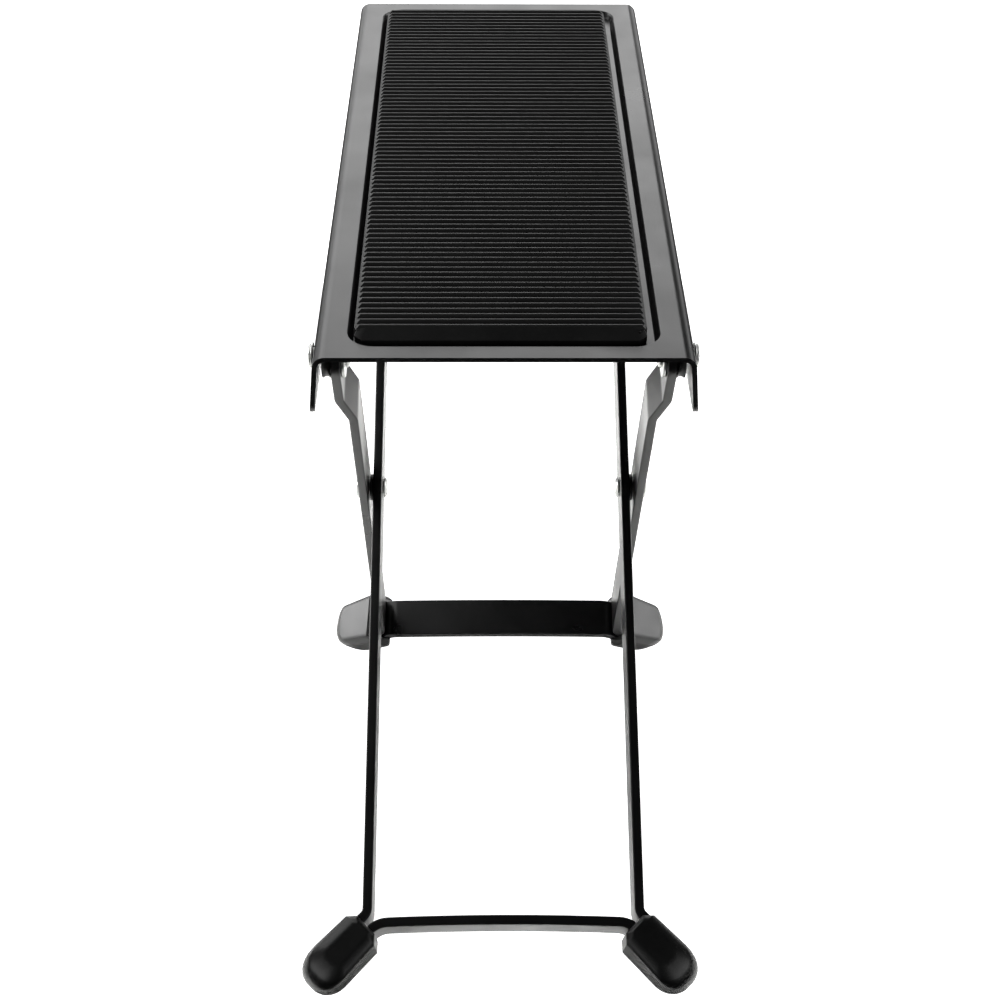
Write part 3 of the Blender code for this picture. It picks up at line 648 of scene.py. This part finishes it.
def notch(centre, relieved):
    """A notch and half the tooth on either side. Relieved, the tooth behind it is cut lower."""
    half_mouth = (NOTCH_PITCH - TOOTH_TIP) / 2
    first = NOTCH_LEAN - math.pi / 2
    last = LEAVING_SLOPE if relieved else -first
    points = [(centre - half_mouth, TOOTH_DEPTH)]
    for step in range(NOTCH_STEPS + 1):
        angle = first + (last - first) * step / NOTCH_STEPS
        reach = NOTCH_RADIUS * math.sin(angle)
        points.append((centre + reach, ROD_DEPTH - NOTCH_RADIUS * math.cos(angle)))
    depth = TOOTH_DEPTH
    if relieved:
        slope = LEAVING_SLOPE
        depth = ROD_DEPTH - (NOTCH_RADIUS - half_mouth * math.sin(slope)) / math.cos(slope)
    points.append((centre + half_mouth, depth))
    return points


def flange_outline():
    """Lug, sweep, rack and tail, as (distance from the front, depth)."""
    low = [(0.0, 0.0), (0.0, LUG_DEPTH), (LUG_LENGTH, LUG_DEPTH), (SWEEP_END, TOOTH_DEPTH)]
    low.append((RACK_START, TOOTH_DEPTH))
    points = [(p.x, p.y) for p in rounded_path(low, [LUG_CORNER, SWEEP_RADIUS, SWEEP_RADIUS])[1:]]
    for number in range(NOTCH_COUNT):
        points += notch(NOTCH_FIRST + number * NOTCH_PITCH, number == 0)
    last = points[-1][0]
    tail = [(last, TOOTH_DEPTH), (last + TOOTH_TIP, TOOTH_DEPTH), (last + TAIL_RUN, TAIL_DEPTH)]
    tail += [(PLATE_LENGTH, TAIL_DEPTH), (PLATE_LENGTH, 0.0)]
    return points + [(p.x, p.y) for p in rounded_path(tail, [TAIL_CORNER] * 3)[1:-1]]


# %% Cut, soften and place the plate
def cut_away(item, name, outline, travel):
    """Take a straight prism out of an object."""
    work = bmesh.new()
    face = work.faces.new([work.verts.new(point) for point in outline])
    grown = bmesh.ops.extrude_face_region(work, geom=[face])["geom"]
    far_end = [part for part in grown if isinstance(part, bmesh.types.BMVert)]
    bmesh.ops.translate(work, verts=far_end, vec=travel)
    tool = show(name, tidy(work, name))
    cut = item.modifiers.new("cut", "BOOLEAN")
    cut.operation = "DIFFERENCE"
    cut.solver = "EXACT"
    cut.object = tool
    return tool


def circle(y, z, radius, x, steps=48):
    """A ring of points about an axis that runs across the footrest."""
    angles = [math.tau * step / steps for step in range(steps)]
    return [(x, y + radius * math.cos(a), z + radius * math.sin(a)) for a in angles]


REACH = 80.0 * MM
SHEARED_EDGE = 0.28 * MM
HOLE_RADIUS = 2.8 * MM
WASTE_MARGIN = 5.0 * MM
WASTE_DEPTH = 30.0 * MM
plate = show("pressed_plate", pressed_sheet())
outline = flange_outline()
loop = [(-WASTE_MARGIN, outline[0][1])] + outline
loop += [(PLATE_LENGTH + WASTE_MARGIN, outline[-1][1]), (PLATE_LENGTH + WASTE_MARGIN, WASTE_DEPTH)]
loop += [(-WASTE_MARGIN, WASTE_DEPTH)]
waste = [(-REACH, y, -depth) for y, depth in loop]
pin_hole = circle(HINGE_SETBACK, -HINGE_DEPTH, HOLE_RADIUS, -REACH)
right_through = (2 * REACH, 0.0, 0.0)
tools = [
    cut_away(plate, "waste", waste, right_through),
    cut_away(plate, "pin_hole", pin_hole, right_through),
]
add_bevel(plate, SHEARED_EDGE, 3)
settle(plate, plate_place, POWDER_COAT, 35.0)
for tool in tools:
    bpy.data.objects.remove(tool, do_unlink=True)
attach(plate, "foot_plate")
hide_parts("top_plate")

# %% [markdown]
# ## The rubber pad
#
# The pad is a slab with its upper edges bevelled, and its corners cut. It carries ribs from side
# to side, whose ends follow the bevel down. At its front end a steeper plain bevel runs up to the
# first rib. The slab is a few rings of points. The ribs are one shape of a few faces, repeated by
# the row tree.

# %% Slab of the pad
PAD_FRONT = 9.8 * MM
PAD_LENGTH = 240.8 * MM
PAD_HALF_WIDTH = 43.1 * MM
PAD_OFFSET = -1.0 * MM
PAD_BASE = -2.2 * MM
PAD_SHOULDER = 1.5 * MM
FRONT_SHOULDER = -0.3 * MM
FRONT_CORNER_CUT = 2.4 * MM
CREST_CORNER_CUT = 2.5 * MM
PAD_TOP = 3.2 * MM
RIB_HEIGHT = 1.1 * MM
SIDE_BEVEL_RUN = 1.7 * MM
END_BEVEL_RUN = 1.7 * MM
PAD_CORNER_CUT = 2.2 * MM
PAD_EDGE = 0.3 * MM
RIB_COUNT = 79
rib_pitch = (PAD_LENGTH - 2 * END_BEVEL_RUN) / RIB_COUNT
FIRST_CREST = END_BEVEL_RUN + rib_pitch / 2


def pad_ring(inset_x, inset_front, inset_back, z):
    """The pad's outline at one height: a rectangle with cut corners."""
    x, cut = PAD_HALF_WIDTH - inset_x, PAD_CORNER_CUT
    low, high = inset_front, PAD_LENGTH - inset_back
    ring = [(x, low + cut), (x, high - cut), (x - cut, high), (cut - x, high)]
    ring += [(-x, high - cut), (-x, low + cut), (cut - x, low), (x - cut, low)]
    return [(px, py, z) for px, py in ring]


def front_bevel(work):
    """The plain wedge at the pad's front end, up to the first rib's crest, with its corners cut."""
    x, top_x, back = PAD_HALF_WIDTH, PAD_HALF_WIDTH - SIDE_BEVEL_RUN, FIRST_CREST + 0.1 * MM
    low_half = [(x, back), (x, FRONT_CORNER_CUT), (x - FRONT_CORNER_CUT, 0.0)]
    high_half = [(top_x, back), (top_x, FIRST_CREST)]
    high_half += [(top_x - CREST_CORNER_CUT, FIRST_CREST - 0.2 * MM)]
    just_below_top = PAD_TOP - 0.02 * MM
    rings = []
    for half, z in ((low_half, PAD_BASE), (low_half, FRONT_SHOULDER), (high_half, just_below_top)):
        outline = half + [(-px, py) for px, py in reversed(half)]
        rings.append([(px, py, z) for px, py in outline])
    loft(work, rings)


def slab_mesh():
    """The slab under the ribs, and the wedge before them."""
    work = bmesh.new()
    share = (PAD_TOP - RIB_HEIGHT - PAD_SHOULDER) / (PAD_TOP - PAD_SHOULDER)
    side, back = SIDE_BEVEL_RUN * share, END_BEVEL_RUN * share
    # At the front these rings end behind the wedge's sloping face.
    low_front, high_front = 1.8 * MM, 2.3 * MM
    rings = [
        pad_ring(0.0, low_front, 0.0, PAD_BASE),
        pad_ring(0.0, low_front, 0.0, PAD_SHOULDER),
        pad_ring(side, high_front, back, PAD_TOP - RIB_HEIGHT),
    ]
    loft(work, rings)
    front_bevel(work)
    return tidy(work, "pad_slab")


pad = show("rubber_pad_slab", slab_mesh())
add_bevel(pad, PAD_EDGE, 2, 30.0)
pad_place = plate_place @ Matrix.Translation((PAD_OFFSET, PAD_FRONT, 0.0))
settle(pad, pad_place, PAD_RUBBER, 30.0)
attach(pad, "foot_plate")
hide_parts("rubber_pad")

# %% [markdown]
# A rib's crest is round and its flanks lean, as rubber must leave its mould. Its cross-section is
# eleven points, and each point reaches as far to the sides as the bevel lets it at that height.

# %% Ribs of the pad
RIB_SHARES = (
    (-0.36, -0.10), (-0.30, 0.0), (-0.22, 0.45), (-0.16, 0.82), (-0.08, 0.97), (0.0, 1.0),
    (0.08, 0.97), (0.16, 0.82), (0.22, 0.45), (0.30, 0.0), (0.36, -0.10),
)


def rib_mesh():
    """One rib, from side to side of the pad."""
    work = bmesh.new()
    ends = []
    for side in (1, -1):
        end = []
        for along, up in RIB_SHARES:
            z = PAD_TOP + (up - 1.0) * RIB_HEIGHT
            run = (z - PAD_SHOULDER) / (PAD_TOP - PAD_SHOULDER) * SIDE_BEVEL_RUN
            end.append((side * (PAD_HALF_WIDTH - run), along * rib_pitch, z))
        ends.append(end)
    loft(work, ends)
    return tidy(work, "pad_rib")


ribs = show("rubber_pad_ribs", rib_mesh())
run_tree(
    ribs,
    ROW_TREE,
    count=RIB_COUNT,
    first_place=(0.0, FIRST_CREST, 0.0),
    step=(0.0, rib_pitch, 0.0),
    first_turn=(0.0, 0.0, 0.0),
    turn_step=(0.0, 0.0, 0.0),
    surface=PAD_RUBBER,
)
settle(ribs, pad_place, smooth_angle=50.0)
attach(ribs, "foot_plate")
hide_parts("rubber_pad")

# %% [markdown]
# ## The leg frames
#
# Each frame is one flat bar, 15 by 3 mm, bent into a U. At the two lower corners the bar doubles
# back on itself, and the fold sticks out at 45 degrees as an ear for the foot cap. A bar that
# follows a bent line is a job for a curve and a profile. The tree below sweeps a rectangle with
# round edges along the line, and then draws the bar's ends in to half circles about their rivets.

# %% The flat bar tree
def bar_tree():
    """Sweep a flat bar along the incoming edges, which lie in the XY plane."""
    sizes = ("Bar width", "Bar thickness", "Edge radius", "Round end")
    tree, given = start_tree("bent_flat_bar", [(label, "Float") for label in sizes])
    line = add_node(tree, "GeometryNodeMeshToCurve", {"Mesh": given["Geometry"]})
    level = add_node(
        tree, "GeometryNodeSetCurveNormal", {"Curve": line.outputs["Curve"]}, mode="Z_UP"
    )
    section = add_node(
        tree,
        "GeometryNodeCurvePrimitiveQuadrilateral",
        {"Width": given["Bar thickness"], "Height": given["Bar width"]},
    )
    rounded = add_node(
        tree,
        "GeometryNodeFilletCurve",
        {"Curve": section.outputs["Curve"], "Count": 3, "Radius": given["Edge radius"]},
        mode="POLY",
    )
    swept = add_node(
        tree,
        "GeometryNodeCurveToMesh",
        {
            "Curve": level.outputs["Curve"],
            "Profile Curve": rounded.outputs["Curve"],
            "Fill Caps": True,
        },
    )
    # Past the rivet's centre the half width follows a circle: z * sqrt(1 - (distance / radius)^2).
    spot = add_node(tree, "GeometryNodeInputPosition")
    parts = add_node(tree, "ShaderNodeSeparateXYZ", {"Vector": spot.outputs["Position"]})
    kind = "ShaderNodeMath"
    place = parts.outputs
    past = add_node(tree, kind, {0: given["Round end"], 1: place["Y"]}, operation="SUBTRACT")
    only = add_node(tree, kind, {0: past.outputs[0], 1: 0.0}, operation="MAXIMUM")
    radius = add_node(tree, kind, {0: given["Bar width"], 1: 0.5}, operation="MULTIPLY")
    share = add_node(tree, kind, {0: only.outputs[0], 1: radius.outputs[0]}, operation="DIVIDE")
    square = add_node(tree, kind, {0: share.outputs[0], 1: 2.0}, operation="POWER")
    rest = add_node(
        tree, kind, {0: 1.0, 1: square.outputs[0]}, operation="SUBTRACT", use_clamp=True
    )
    root = add_node(tree, kind, {0: rest.outputs[0]}, operation="SQRT")
    lower = add_node(tree, kind, {0: place["Z"], 1: root.outputs[0]}, operation="MULTIPLY")
    new_spot = add_node(
        tree,
        "ShaderNodeCombineXYZ",
        {"X": place["X"], "Y": place["Y"], "Z": lower.outputs[0]},
    )
    ended = add_node(
        tree,
        "GeometryNodeSetPosition",
        {"Geometry": swept.outputs["Mesh"], "Position": new_spot.outputs["Vector"]},
    )
    end_tree(tree, ended.outputs["Geometry"], given["Surface"])
    return tree


BAR_TREE = bar_tree()

# %% [markdown]
# The bent line itself is worked out as a bender would set it: straight leg, a small bend out along
# the ear, the hairpin at its tip, back to the crossbar with a wide bend, and a crossbar that bows
# a little. The rear frame also has a step near its top, where the legs move out to the plate's
# flanges.

# %% The bent lines
BAR_WIDTH = 15.0 * MM
BAR_THICKNESS = 3.0 * MM
BAR_EDGE = 0.45 * MM
REAR_HALF_SPAN = 48.0 * MM
FRONT_HALF_SPAN = 43.4 * MM
HINGE_HALF_SPAN = 51.6 * MM
REAR_LOWER_ARM = 112.0 * MM
FRONT_LOWER_ARM = 147.5 * MM
HAIRPIN_RADIUS = 2.2 * MM
EAR_LENGTH = 16.1 * MM
CROSSBAR_BOW = 0.8 * MM
EAR_BEND = 3.5 * MM
CROSSBAR_BEND = 8.0 * MM
JOGGLE_START = 14.5 * MM
JOGGLE_END = 25.8 * MM
JOGGLE_RADIUS = 6.0 * MM


def bent_line(half_span, crossbar, top, joggle_radii):
    """The middle line of a frame, from one round end to the other."""
    corner = Vector((half_span - BAR_THICKNESS / 2, crossbar))
    outward = Vector((1.0, 1.0)).normalized()
    across = Vector((1.0, -1.0)).normalized() * HAIRPIN_RADIUS
    diagonal = math.sqrt(2.0) * HAIRPIN_RADIUS
    tip = corner + outward * EAR_LENGTH
    end_shares = [math.sin(math.radians(angle)) for angle in (88.5, 80, 70, 60, 50, 40, 30, 20, 10)]
    ends = [Vector((top[0].x, top[0].y - share * BAR_WIDTH / 2)) for share in end_shares]
    corners = ends + top + [Vector((corner.x, crossbar - diagonal)), tip + across, tip - across]
    start = corner.x - diagonal
    for share in (1.0, 0.75, 0.5, 0.25, 0.0):
        rise = CROSSBAR_BOW * (1.0 - share**2) if share < 1.0 else 0.0
        corners.append(Vector((start * share, crossbar - rise)))
    radii = [0.0] * len(ends) + joggle_radii
    radii += [EAR_BEND, HAIRPIN_RADIUS, HAIRPIN_RADIUS, CROSSBAR_BEND, 0.0, 0.0, 0.0]
    right = rounded_path(corners, radii)
    return right + [Vector((-p.x, p.y)) for p in reversed(right[:-1])]


def frame_bar(name, line, upper_arm):
    """A flat bar along a bent line. The rivets and the rod fill its holes, so it has none here."""
    work = bmesh.new()
    spots = [work.verts.new((p.x, p.y, 0.0)) for p in line]
    for first, second in zip(spots, spots[1:]):
        work.edges.new((first, second))
    mesh = bpy.data.meshes.new(name)
    work.to_mesh(mesh)
    work.free()
    item = show(name, mesh)
    run_tree(
        item,
        BAR_TREE,
        bar_width=BAR_WIDTH,
        bar_thickness=BAR_THICKNESS,
        edge_radius=BAR_EDGE,
        round_end=-upper_arm,
        surface=POWDER_COAT,
    )
    return item


rear_top = [
    Vector((HINGE_HALF_SPAN - BAR_THICKNESS / 2, -REAR_UPPER_ARM)),
    Vector((HINGE_HALF_SPAN - BAR_THICKNESS / 2, JOGGLE_START - REAR_UPPER_ARM)),
    Vector((REAR_HALF_SPAN - BAR_THICKNESS / 2, JOGGLE_END - REAR_UPPER_ARM)),
]
rear_line = bent_line(REAR_HALF_SPAN, REAR_LOWER_ARM, rear_top, [JOGGLE_RADIUS, JOGGLE_RADIUS])
front_top = [Vector((FRONT_HALF_SPAN - BAR_THICKNESS / 2, -FRONT_UPPER_ARM))]
front_line = bent_line(FRONT_HALF_SPAN, FRONT_LOWER_ARM, front_top, [])

# %% Make both frames
rear_bar = frame_bar("rear_leg_bar", rear_line, REAR_UPPER_ARM)
front_bar = frame_bar("front_leg_bar", front_line, FRONT_UPPER_ARM)
for bar, place, body, node in (
    (rear_bar, rear_place, "rear_frame", "rear_leg_frame"),
    (front_bar, front_place, "front_frame", "front_leg_frame"),
):
    settle(bar, place, POWDER_COAT, 35.0)
    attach(bar, body)
    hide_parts(node)

# %% [markdown]
# ## Foot caps
#
# Four caps from one mould, each a thick sleeve that is pushed over an ear. A cap has a square mouth
# with its corners taken off, wide soft bevels round its two broad faces, and a domed outer end, on
# which the footrest stands. The broad face that looks to the front slopes off to a toe. The cap is
# lofted through rings of points, and its pocket is cut out.

# %% Cap shape
CAP_END = 24.5 * MM
CAP_HALF_WIDTH = 7.0 * MM
CAP_END_RADIUS = 6.0 * MM
CAP_MOUTH_CUT = 2.6 * MM
POCKET_END = 16.0 * MM
POCKET_HALF_WIDTH = 3.9 * MM
POCKET_HALF_HEIGHT = 7.6 * MM
POCKET_START = -4.0 * MM


def cap_ring(inset, mouth_inset, end_inset, z):
    """The cap's outline at one height, drawn in at its sides, its mouth and its outer end."""
    low, high = mouth_inset, CAP_END - end_inset
    half = CAP_HALF_WIDTH - inset
    cut = CAP_MOUTH_CUT * half / CAP_HALF_WIDTH
    radius = CAP_END_RADIUS - inset
    arc = [step / 8 * math.pi / 2 for step in range(9)]
    x, y = high - radius, half - radius
    end = [(x + radius * math.cos(angle), y + radius * math.sin(angle)) for angle in arc]
    mouth = [(low + cut * (1 - step / 4), half - cut * step / 4) for step in range(5)]
    right = end + mouth
    return [(x, y, z) for x, y in right] + [(x, -y, z) for x, y in reversed(right)]


def cap_mesh():
    """One cap, with its length along X, before its pocket is cut."""
    work = bmesh.new()
    # Each level: drawn in at the sides, at the mouth and at the outer end, and its height, in mm.
    upper = [
        (0.0, 0.0, 0.15, 2.4), (0.0, 0.0, 0.5, 4.8), (0.0, 0.0, 1.1, 7.0), (0.08, 0.02, 1.8, 8.5),
        (0.45, 0.15, 2.4, 9.1), (1.5, 0.5, 3.8, 9.8), (3.1, 1.0, 5.9, 10.4), (4.2, 1.5, 7.6, 10.6),
    ]
    # The broad face that looks to the front slopes off to a toe over its last third.
    toe = [
        (0.0, 0.0, 0.2, 2.4), (0.0, 0.0, 0.7, 4.8), (0.0, 0.0, 1.7, 7.0), (0.08, 0.02, 3.3, 8.5),
        (0.45, 0.15, 4.3, 9.1), (1.5, 0.5, 6.0, 9.8), (3.1, 1.0, 8.3, 10.4), (4.2, 1.5, 9.8, 10.6),
    ]
    levels = [(*insets, -z) for *insets, z in reversed(toe)] + [(0.0, 0.0, 0.0, 0.0)] + upper
    loft(work, [cap_ring(*(value * MM for value in level)) for level in levels])
    # The sleeve gets broader and thinner towards its outer end, as the mould's draft makes it.
    for vert in work.verts:
        along = vert.co.x / (20.0 * MM)
        vert.co.y *= 0.9 + 0.1 * along
        vert.co.z *= 1.0 - 0.17 * along
    return tidy(work, "foot_cap")


def make_caps(name, half_span, crossbar, place, body, nodes, aside, inward, lift):
    """Two caps on a frame's ears, each a little off its ear's own line, as soft caps sit.

    The pair is set aside to the right. Inward moves each cap across its ear to the middle, and
    lift tips its outer end to the rear.
    """
    item = show(name, cap_mesh())
    half, deep = POCKET_HALF_WIDTH, POCKET_HALF_HEIGHT
    corners = [(POCKET_START, half), (POCKET_END, half), (POCKET_END, -half), (POCKET_START, -half)]
    pocket = [(p.x, p.y, -deep) for p in rounded_path(corners, [half, half])]
    tool = cut_away(item, "pocket", pocket, (0.0, 0.0, 2 * deep))
    mesh = applied(item)
    mesh.transform(Matrix.Rotation(-lift, 4, "Y"))
    item.data = mesh
    corner_x = half_span - BAR_THICKNESS / 2 - inward * math.sqrt(0.5)
    run_tree(
        item,
        ROW_TREE,
        count=2,
        first_place=(corner_x + aside, crossbar + inward * math.sqrt(0.5), 0.0),
        step=(-2 * corner_x, 0.0, 0.0),
        first_turn=(0.0, 0.0, math.pi / 4),
        turn_step=(0.0, 0.0, math.pi / 2),
        surface=CAP_RUBBER,
    )
    settle(item, place, smooth_angle=38.0)
    bpy.data.objects.remove(tool, do_unlink=True)
    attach(item, body)
    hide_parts(*nodes)


make_caps(
    "rear_foot_caps", REAR_HALF_SPAN, REAR_LOWER_ARM, rear_place, "rear_frame",
    ("rear_foot_left", "rear_foot_right"), 0.7 * MM, 0.0, math.radians(4.7),
)
make_caps(
    "front_foot_caps", FRONT_HALF_SPAN, FRONT_LOWER_ARM, front_place, "front_frame",
    ("front_foot_left", "front_foot_right"), -1.0 * MM, 1.2 * MM, 0.0,
)

# %% [markdown]
# ## Rivets, washers and spacers
#
# Everything on the two hinge lines is round about its line, so a lathe makes it. Each profile is
# drawn for the right-hand side and copied, turned half round, to the left.

# %% Shapes for the hinge lines
RIVET_SHANK = 2.5 * MM


def rivet(name, head_x, height, radius, clinch_x):
    """A rivet along +X with a domed head outside and a low clinched head inside."""
    collar = head_x + height * 0.3
    profile = [(clinch_x - 1.2 * MM, 0.0), (clinch_x - 1.2 * MM, radius * 0.5)]
    profile += [(clinch_x - 0.9 * MM, radius * 0.82), (clinch_x - 0.4 * MM, radius * 0.98)]
    profile += [(clinch_x, radius), (clinch_x, RIVET_SHANK), (head_x, RIVET_SHANK)]
    profile += [(head_x, radius * 0.97), (head_x + 0.12 * MM, radius), (collar, radius)]
    for step in range(1, 9):
        angle = step / 8 * math.pi / 2
        rise = (height - (collar - head_x)) * math.sin(angle)
        profile.append((collar + rise, radius * math.cos(angle) ** 0.8 if step < 8 else 0.0))
    return lathe(name, profile)


def ring_profile(inner, outer, low, high, edge, waist=None):
    """A washer's cross-section with softened outer edges."""
    profile = [(low, inner), (low, outer - edge), (low + edge, outer)]
    if waist:
        for share in (0.2, 0.35, 0.5, 0.65, 0.8):
            dip = (outer - waist) * math.sin(math.pi * share)
            profile.append((low + (high - low) * share, outer - dip))
    return profile + [(high - edge, outer), (high, outer - edge), (high, inner)]


def ring(name, outer, low, high, edge, inner=HOLE_RADIUS, waist=None):
    """A washer or spacer about the X axis."""
    return lathe(name, ring_profile(inner, outer, low, high, edge, waist), True)


# %% Fittings on both hinge lines
hinge_place = rear_place @ Matrix.Translation((0.0, -REAR_UPPER_ARM, 0.0))
SOFT_EDGE = 0.15 * MM
# A rivet: its head's place and height, its radius, and its clinched end's place.
plate_rivet = rivet("plate_rivet", 57.7 * MM, 1.0 * MM, 3.6 * MM, 47.1 * MM)
leg_rivet = rivet("leg_rivet", 48.3 * MM, 1.5 * MM, 3.5 * MM, 40.1 * MM)
# A ring: its outer radius, its two faces' places, and its soft edge.
plate_washer = ring("plate_washer", 4.0 * MM, 56.95 * MM, 57.6 * MM, 0.12 * MM)
plate_spacer = ring("plate_spacer", 6.7 * MM, 51.7 * MM, 54.3 * MM, SOFT_EDGE, waist=6.2 * MM)
plate_inner_washer = ring("plate_inner_washer", 6.5 * MM, 47.4 * MM, 48.3 * MM, SOFT_EDGE)
leg_washer = ring("leg_washer", 4.5 * MM, 43.7 * MM, 44.7 * MM, SOFT_EDGE)
fittings = [
    ("plate_rivets", plate_rivet, hinge_place, ZINC_PLATE, "plate_rivet", "zinc_plated_steel"),
    ("plate_washers", plate_washer, hinge_place, ZINC_PLATE, "plate_washer", "zinc_plated_steel"),
    ("plate_spacers", plate_spacer, hinge_place, BLACK_NYLON, "plate_spacer", "black_nylon"),
    (
        "plate_inner_washers", plate_inner_washer, hinge_place, ZINC_PLATE, "plate_inner_washer",
        "zinc_plated_steel",
    ),
    ("leg_rivets", leg_rivet, rear_place, ZINC_PLATE, "leg_rivet", "zinc_plated_steel"),
    ("leg_washers", leg_washer, rear_place, BLACK_NYLON, "leg_washer", "black_nylon"),
]
for name, mesh, place, surface, node, slot in fittings:
    item = mirrored_pair(name, mesh, place, surface)
    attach(item, "rear_frame")
    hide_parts(node + "_left", node + "_right")

# %% [markdown]
# ## Catch rod and clips
#
# The rod under the plate is plain coated bar with chamfered ends. Two push-on clips, little stamped
# washers with a split inner edge, keep it from sliding.

# %% Rod and clips
rod_place = front_place @ Matrix.Translation((0.0, -FRONT_UPPER_ARM, 0.0))
HALF_ROD = 55.7 * MM
ROD_RADIUS = 3.0 * MM
ROD_CHAMFER = 0.5 * MM
rod_end = [(HALF_ROD - ROD_CHAMFER, ROD_RADIUS), (HALF_ROD, ROD_RADIUS - ROD_CHAMFER)]
rod_end.append((HALF_ROD, 0.0))
rod_profile = [(-x, radius) for x, radius in reversed(rod_end)] + rod_end
rod = show("coated_rod", lathe("coated_rod", rod_profile))
settle(rod, rod_place, POWDER_COAT, 30.0)
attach(rod, "front_frame")
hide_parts("catch_rod")

clip = ring("rod_clip", 5.5 * MM, 39.3 * MM, 40.1 * MM, SOFT_EDGE, inner=3.3 * MM)
clips = mirrored_pair("rod_clips", clip, rod_place, ZINC_PLATE)
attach(clips, "front_frame")
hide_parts("rod_clip_left", "rod_clip_right")

# %% [markdown]
# ## Floor and light
#
# The photograph shows a white ground with no shadow, dark steel where it faces up and forward, and
# pale steel where it faces the ground. Gloss on black steel comes from what it mirrors, so each
# large face gets something of its own to mirror. The plate's top mirrors two softboxes behind the
# footrest, a high one and a wide low one. The legs' lower faces mirror a pale floor, which a lamp
# overhead lights. The foot caps and the outer sides get small softboxes left and right. What the
# camera sees as the ground is a second, glowing floor that the steel doesn't mirror.

# %% Floor
WHITE_GLOW = 1.6
floor_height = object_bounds()[0][2]
print(f"the caps' lowest point is {floor_height / MM:.2f} mm up")


def ground(name, corners, glow):
    """A floor that glows and is only seen, or one that is only mirrored and sends light back."""
    mesh = bpy.data.meshes.new(name)
    mesh.from_pydata([(x, y, floor_height) for x, y in corners], [], [(0, 1, 2, 3)])
    item = show(name, mesh)
    surface = bpy.data.materials.new(name)
    surface.use_nodes = True
    paint = surface.node_tree.nodes["Principled BSDF"]
    paint.inputs["Base Color"].default_value = linear("#f4f4f2")
    paint.inputs["Roughness"].default_value = 0.9
    paint.inputs["Emission Color"].default_value = (1.0, 1.0, 1.0, 1.0)
    paint.inputs["Emission Strength"].default_value = glow
    mesh.materials.append(surface)
    item.visible_camera = glow > 0.0
    item.visible_glossy = item.visible_diffuse = glow == 0.0
    return item


# The camera sees one wide bright floor. The steel mirrors a plain one, from the front feet back.
SEEN_CORNERS = ((-4.0, -4.0), (4.0, -4.0), (4.0, 6.0), (-4.0, 6.0))
MIRRORED_CORNERS = ((-0.6, -0.165), (0.6, -0.165), (0.6, 0.45), (-0.6, 0.45))
seen_floor = ground("seen_floor", SEEN_CORNERS, WHITE_GLOW)
mirrored_floor = ground("mirrored_floor", MIRRORED_CORNERS, 0.0)

# %% Lights
def softbox(name, place, target, width, height, power):
    """A rectangular lamp that faces a point and isn't seen itself."""
    light = bpy.data.lights.new(name, "AREA")
    light.shape = "RECTANGLE"
    light.size = width
    light.size_y = height
    light.energy = power
    item = bpy.data.objects.new(name, light)
    bpy.context.scene.collection.objects.link(item)
    item.location = place
    item.rotation_euler = (Vector(target) - Vector(place)).to_track_quat("-Z", "Y").to_euler()
    item.visible_camera = False
    return item


# Name, place, the point it faces, width, height, and power in watts.
SOFTBOXES = (
    ("softbox_overhead", (0.0, 0.3, 1.8), (0.0, 0.3, 0.0), 1.6, 1.6, 1150.0),
    ("softbox_back", (-0.3, 1.3, 1.25), (0.0, 0.0, 0.2), 1.6, 0.9, 14.0),
    ("softbox_low_back", (0.0, 1.6, 0.55), (0.0, 0.0, 0.2), 3.4, 0.5, 6.4),
    ("softbox_left", (-1.1, 0.41, 0.32), (0.0, 0.03, 0.02), 0.5, 0.5, 7.5),
    ("softbox_right", (1.1, 0.41, 0.32), (0.0, 0.03, 0.02), 0.5, 0.5, 4.5),
    ("softbox_front_left", (-1.1, -1.2, 0.4), (0.0, 0.0, 0.12), 1.0, 0.6, 4.0),
    ("softbox_front_right", (1.1, -1.2, 0.4), (0.0, 0.0, 0.12), 1.0, 0.6, 4.0),
    ("softbox_high_left", (-0.63, -0.05, 1.05), (-0.06, -0.15, 0.02), 0.8, 0.8, 4.0),
)
overhead = [softbox(*settings) for settings in SOFTBOXES][0]
# The overhead light falls on the mirrored floor only, so the black steel stays deep.
overhead.visible_glossy = False
lit = bpy.data.collections.new("lit_from_above")
lit.objects.link(mirrored_floor)
overhead.light_linking.receiver_collection = lit
print(f"{len(SOFTBOXES)} softboxes")

# %% The room, white to the camera and dim as a light
ROOM_LIGHT = 0.03
room = bpy.data.worlds.new("room")
room.use_nodes = True
paper = room.node_tree.nodes["Background"]
paper.inputs["Color"].default_value = (1.0, 1.0, 1.0, 1.0)
rays = add_node(room.node_tree, "ShaderNodeLightPath")
strength = add_node(
    room.node_tree,
    "ShaderNodeMapRange",
    {"Value": rays.outputs["Is Camera Ray"], "To Min": ROOM_LIGHT, "To Max": WHITE_GLOW},
)
room.node_tree.links.new(strength.outputs["Result"], paper.inputs["Strength"])
bpy.context.scene.world = room
bpy.context.scene.view_settings.view_transform = "Standard"
print("room:", room.name)
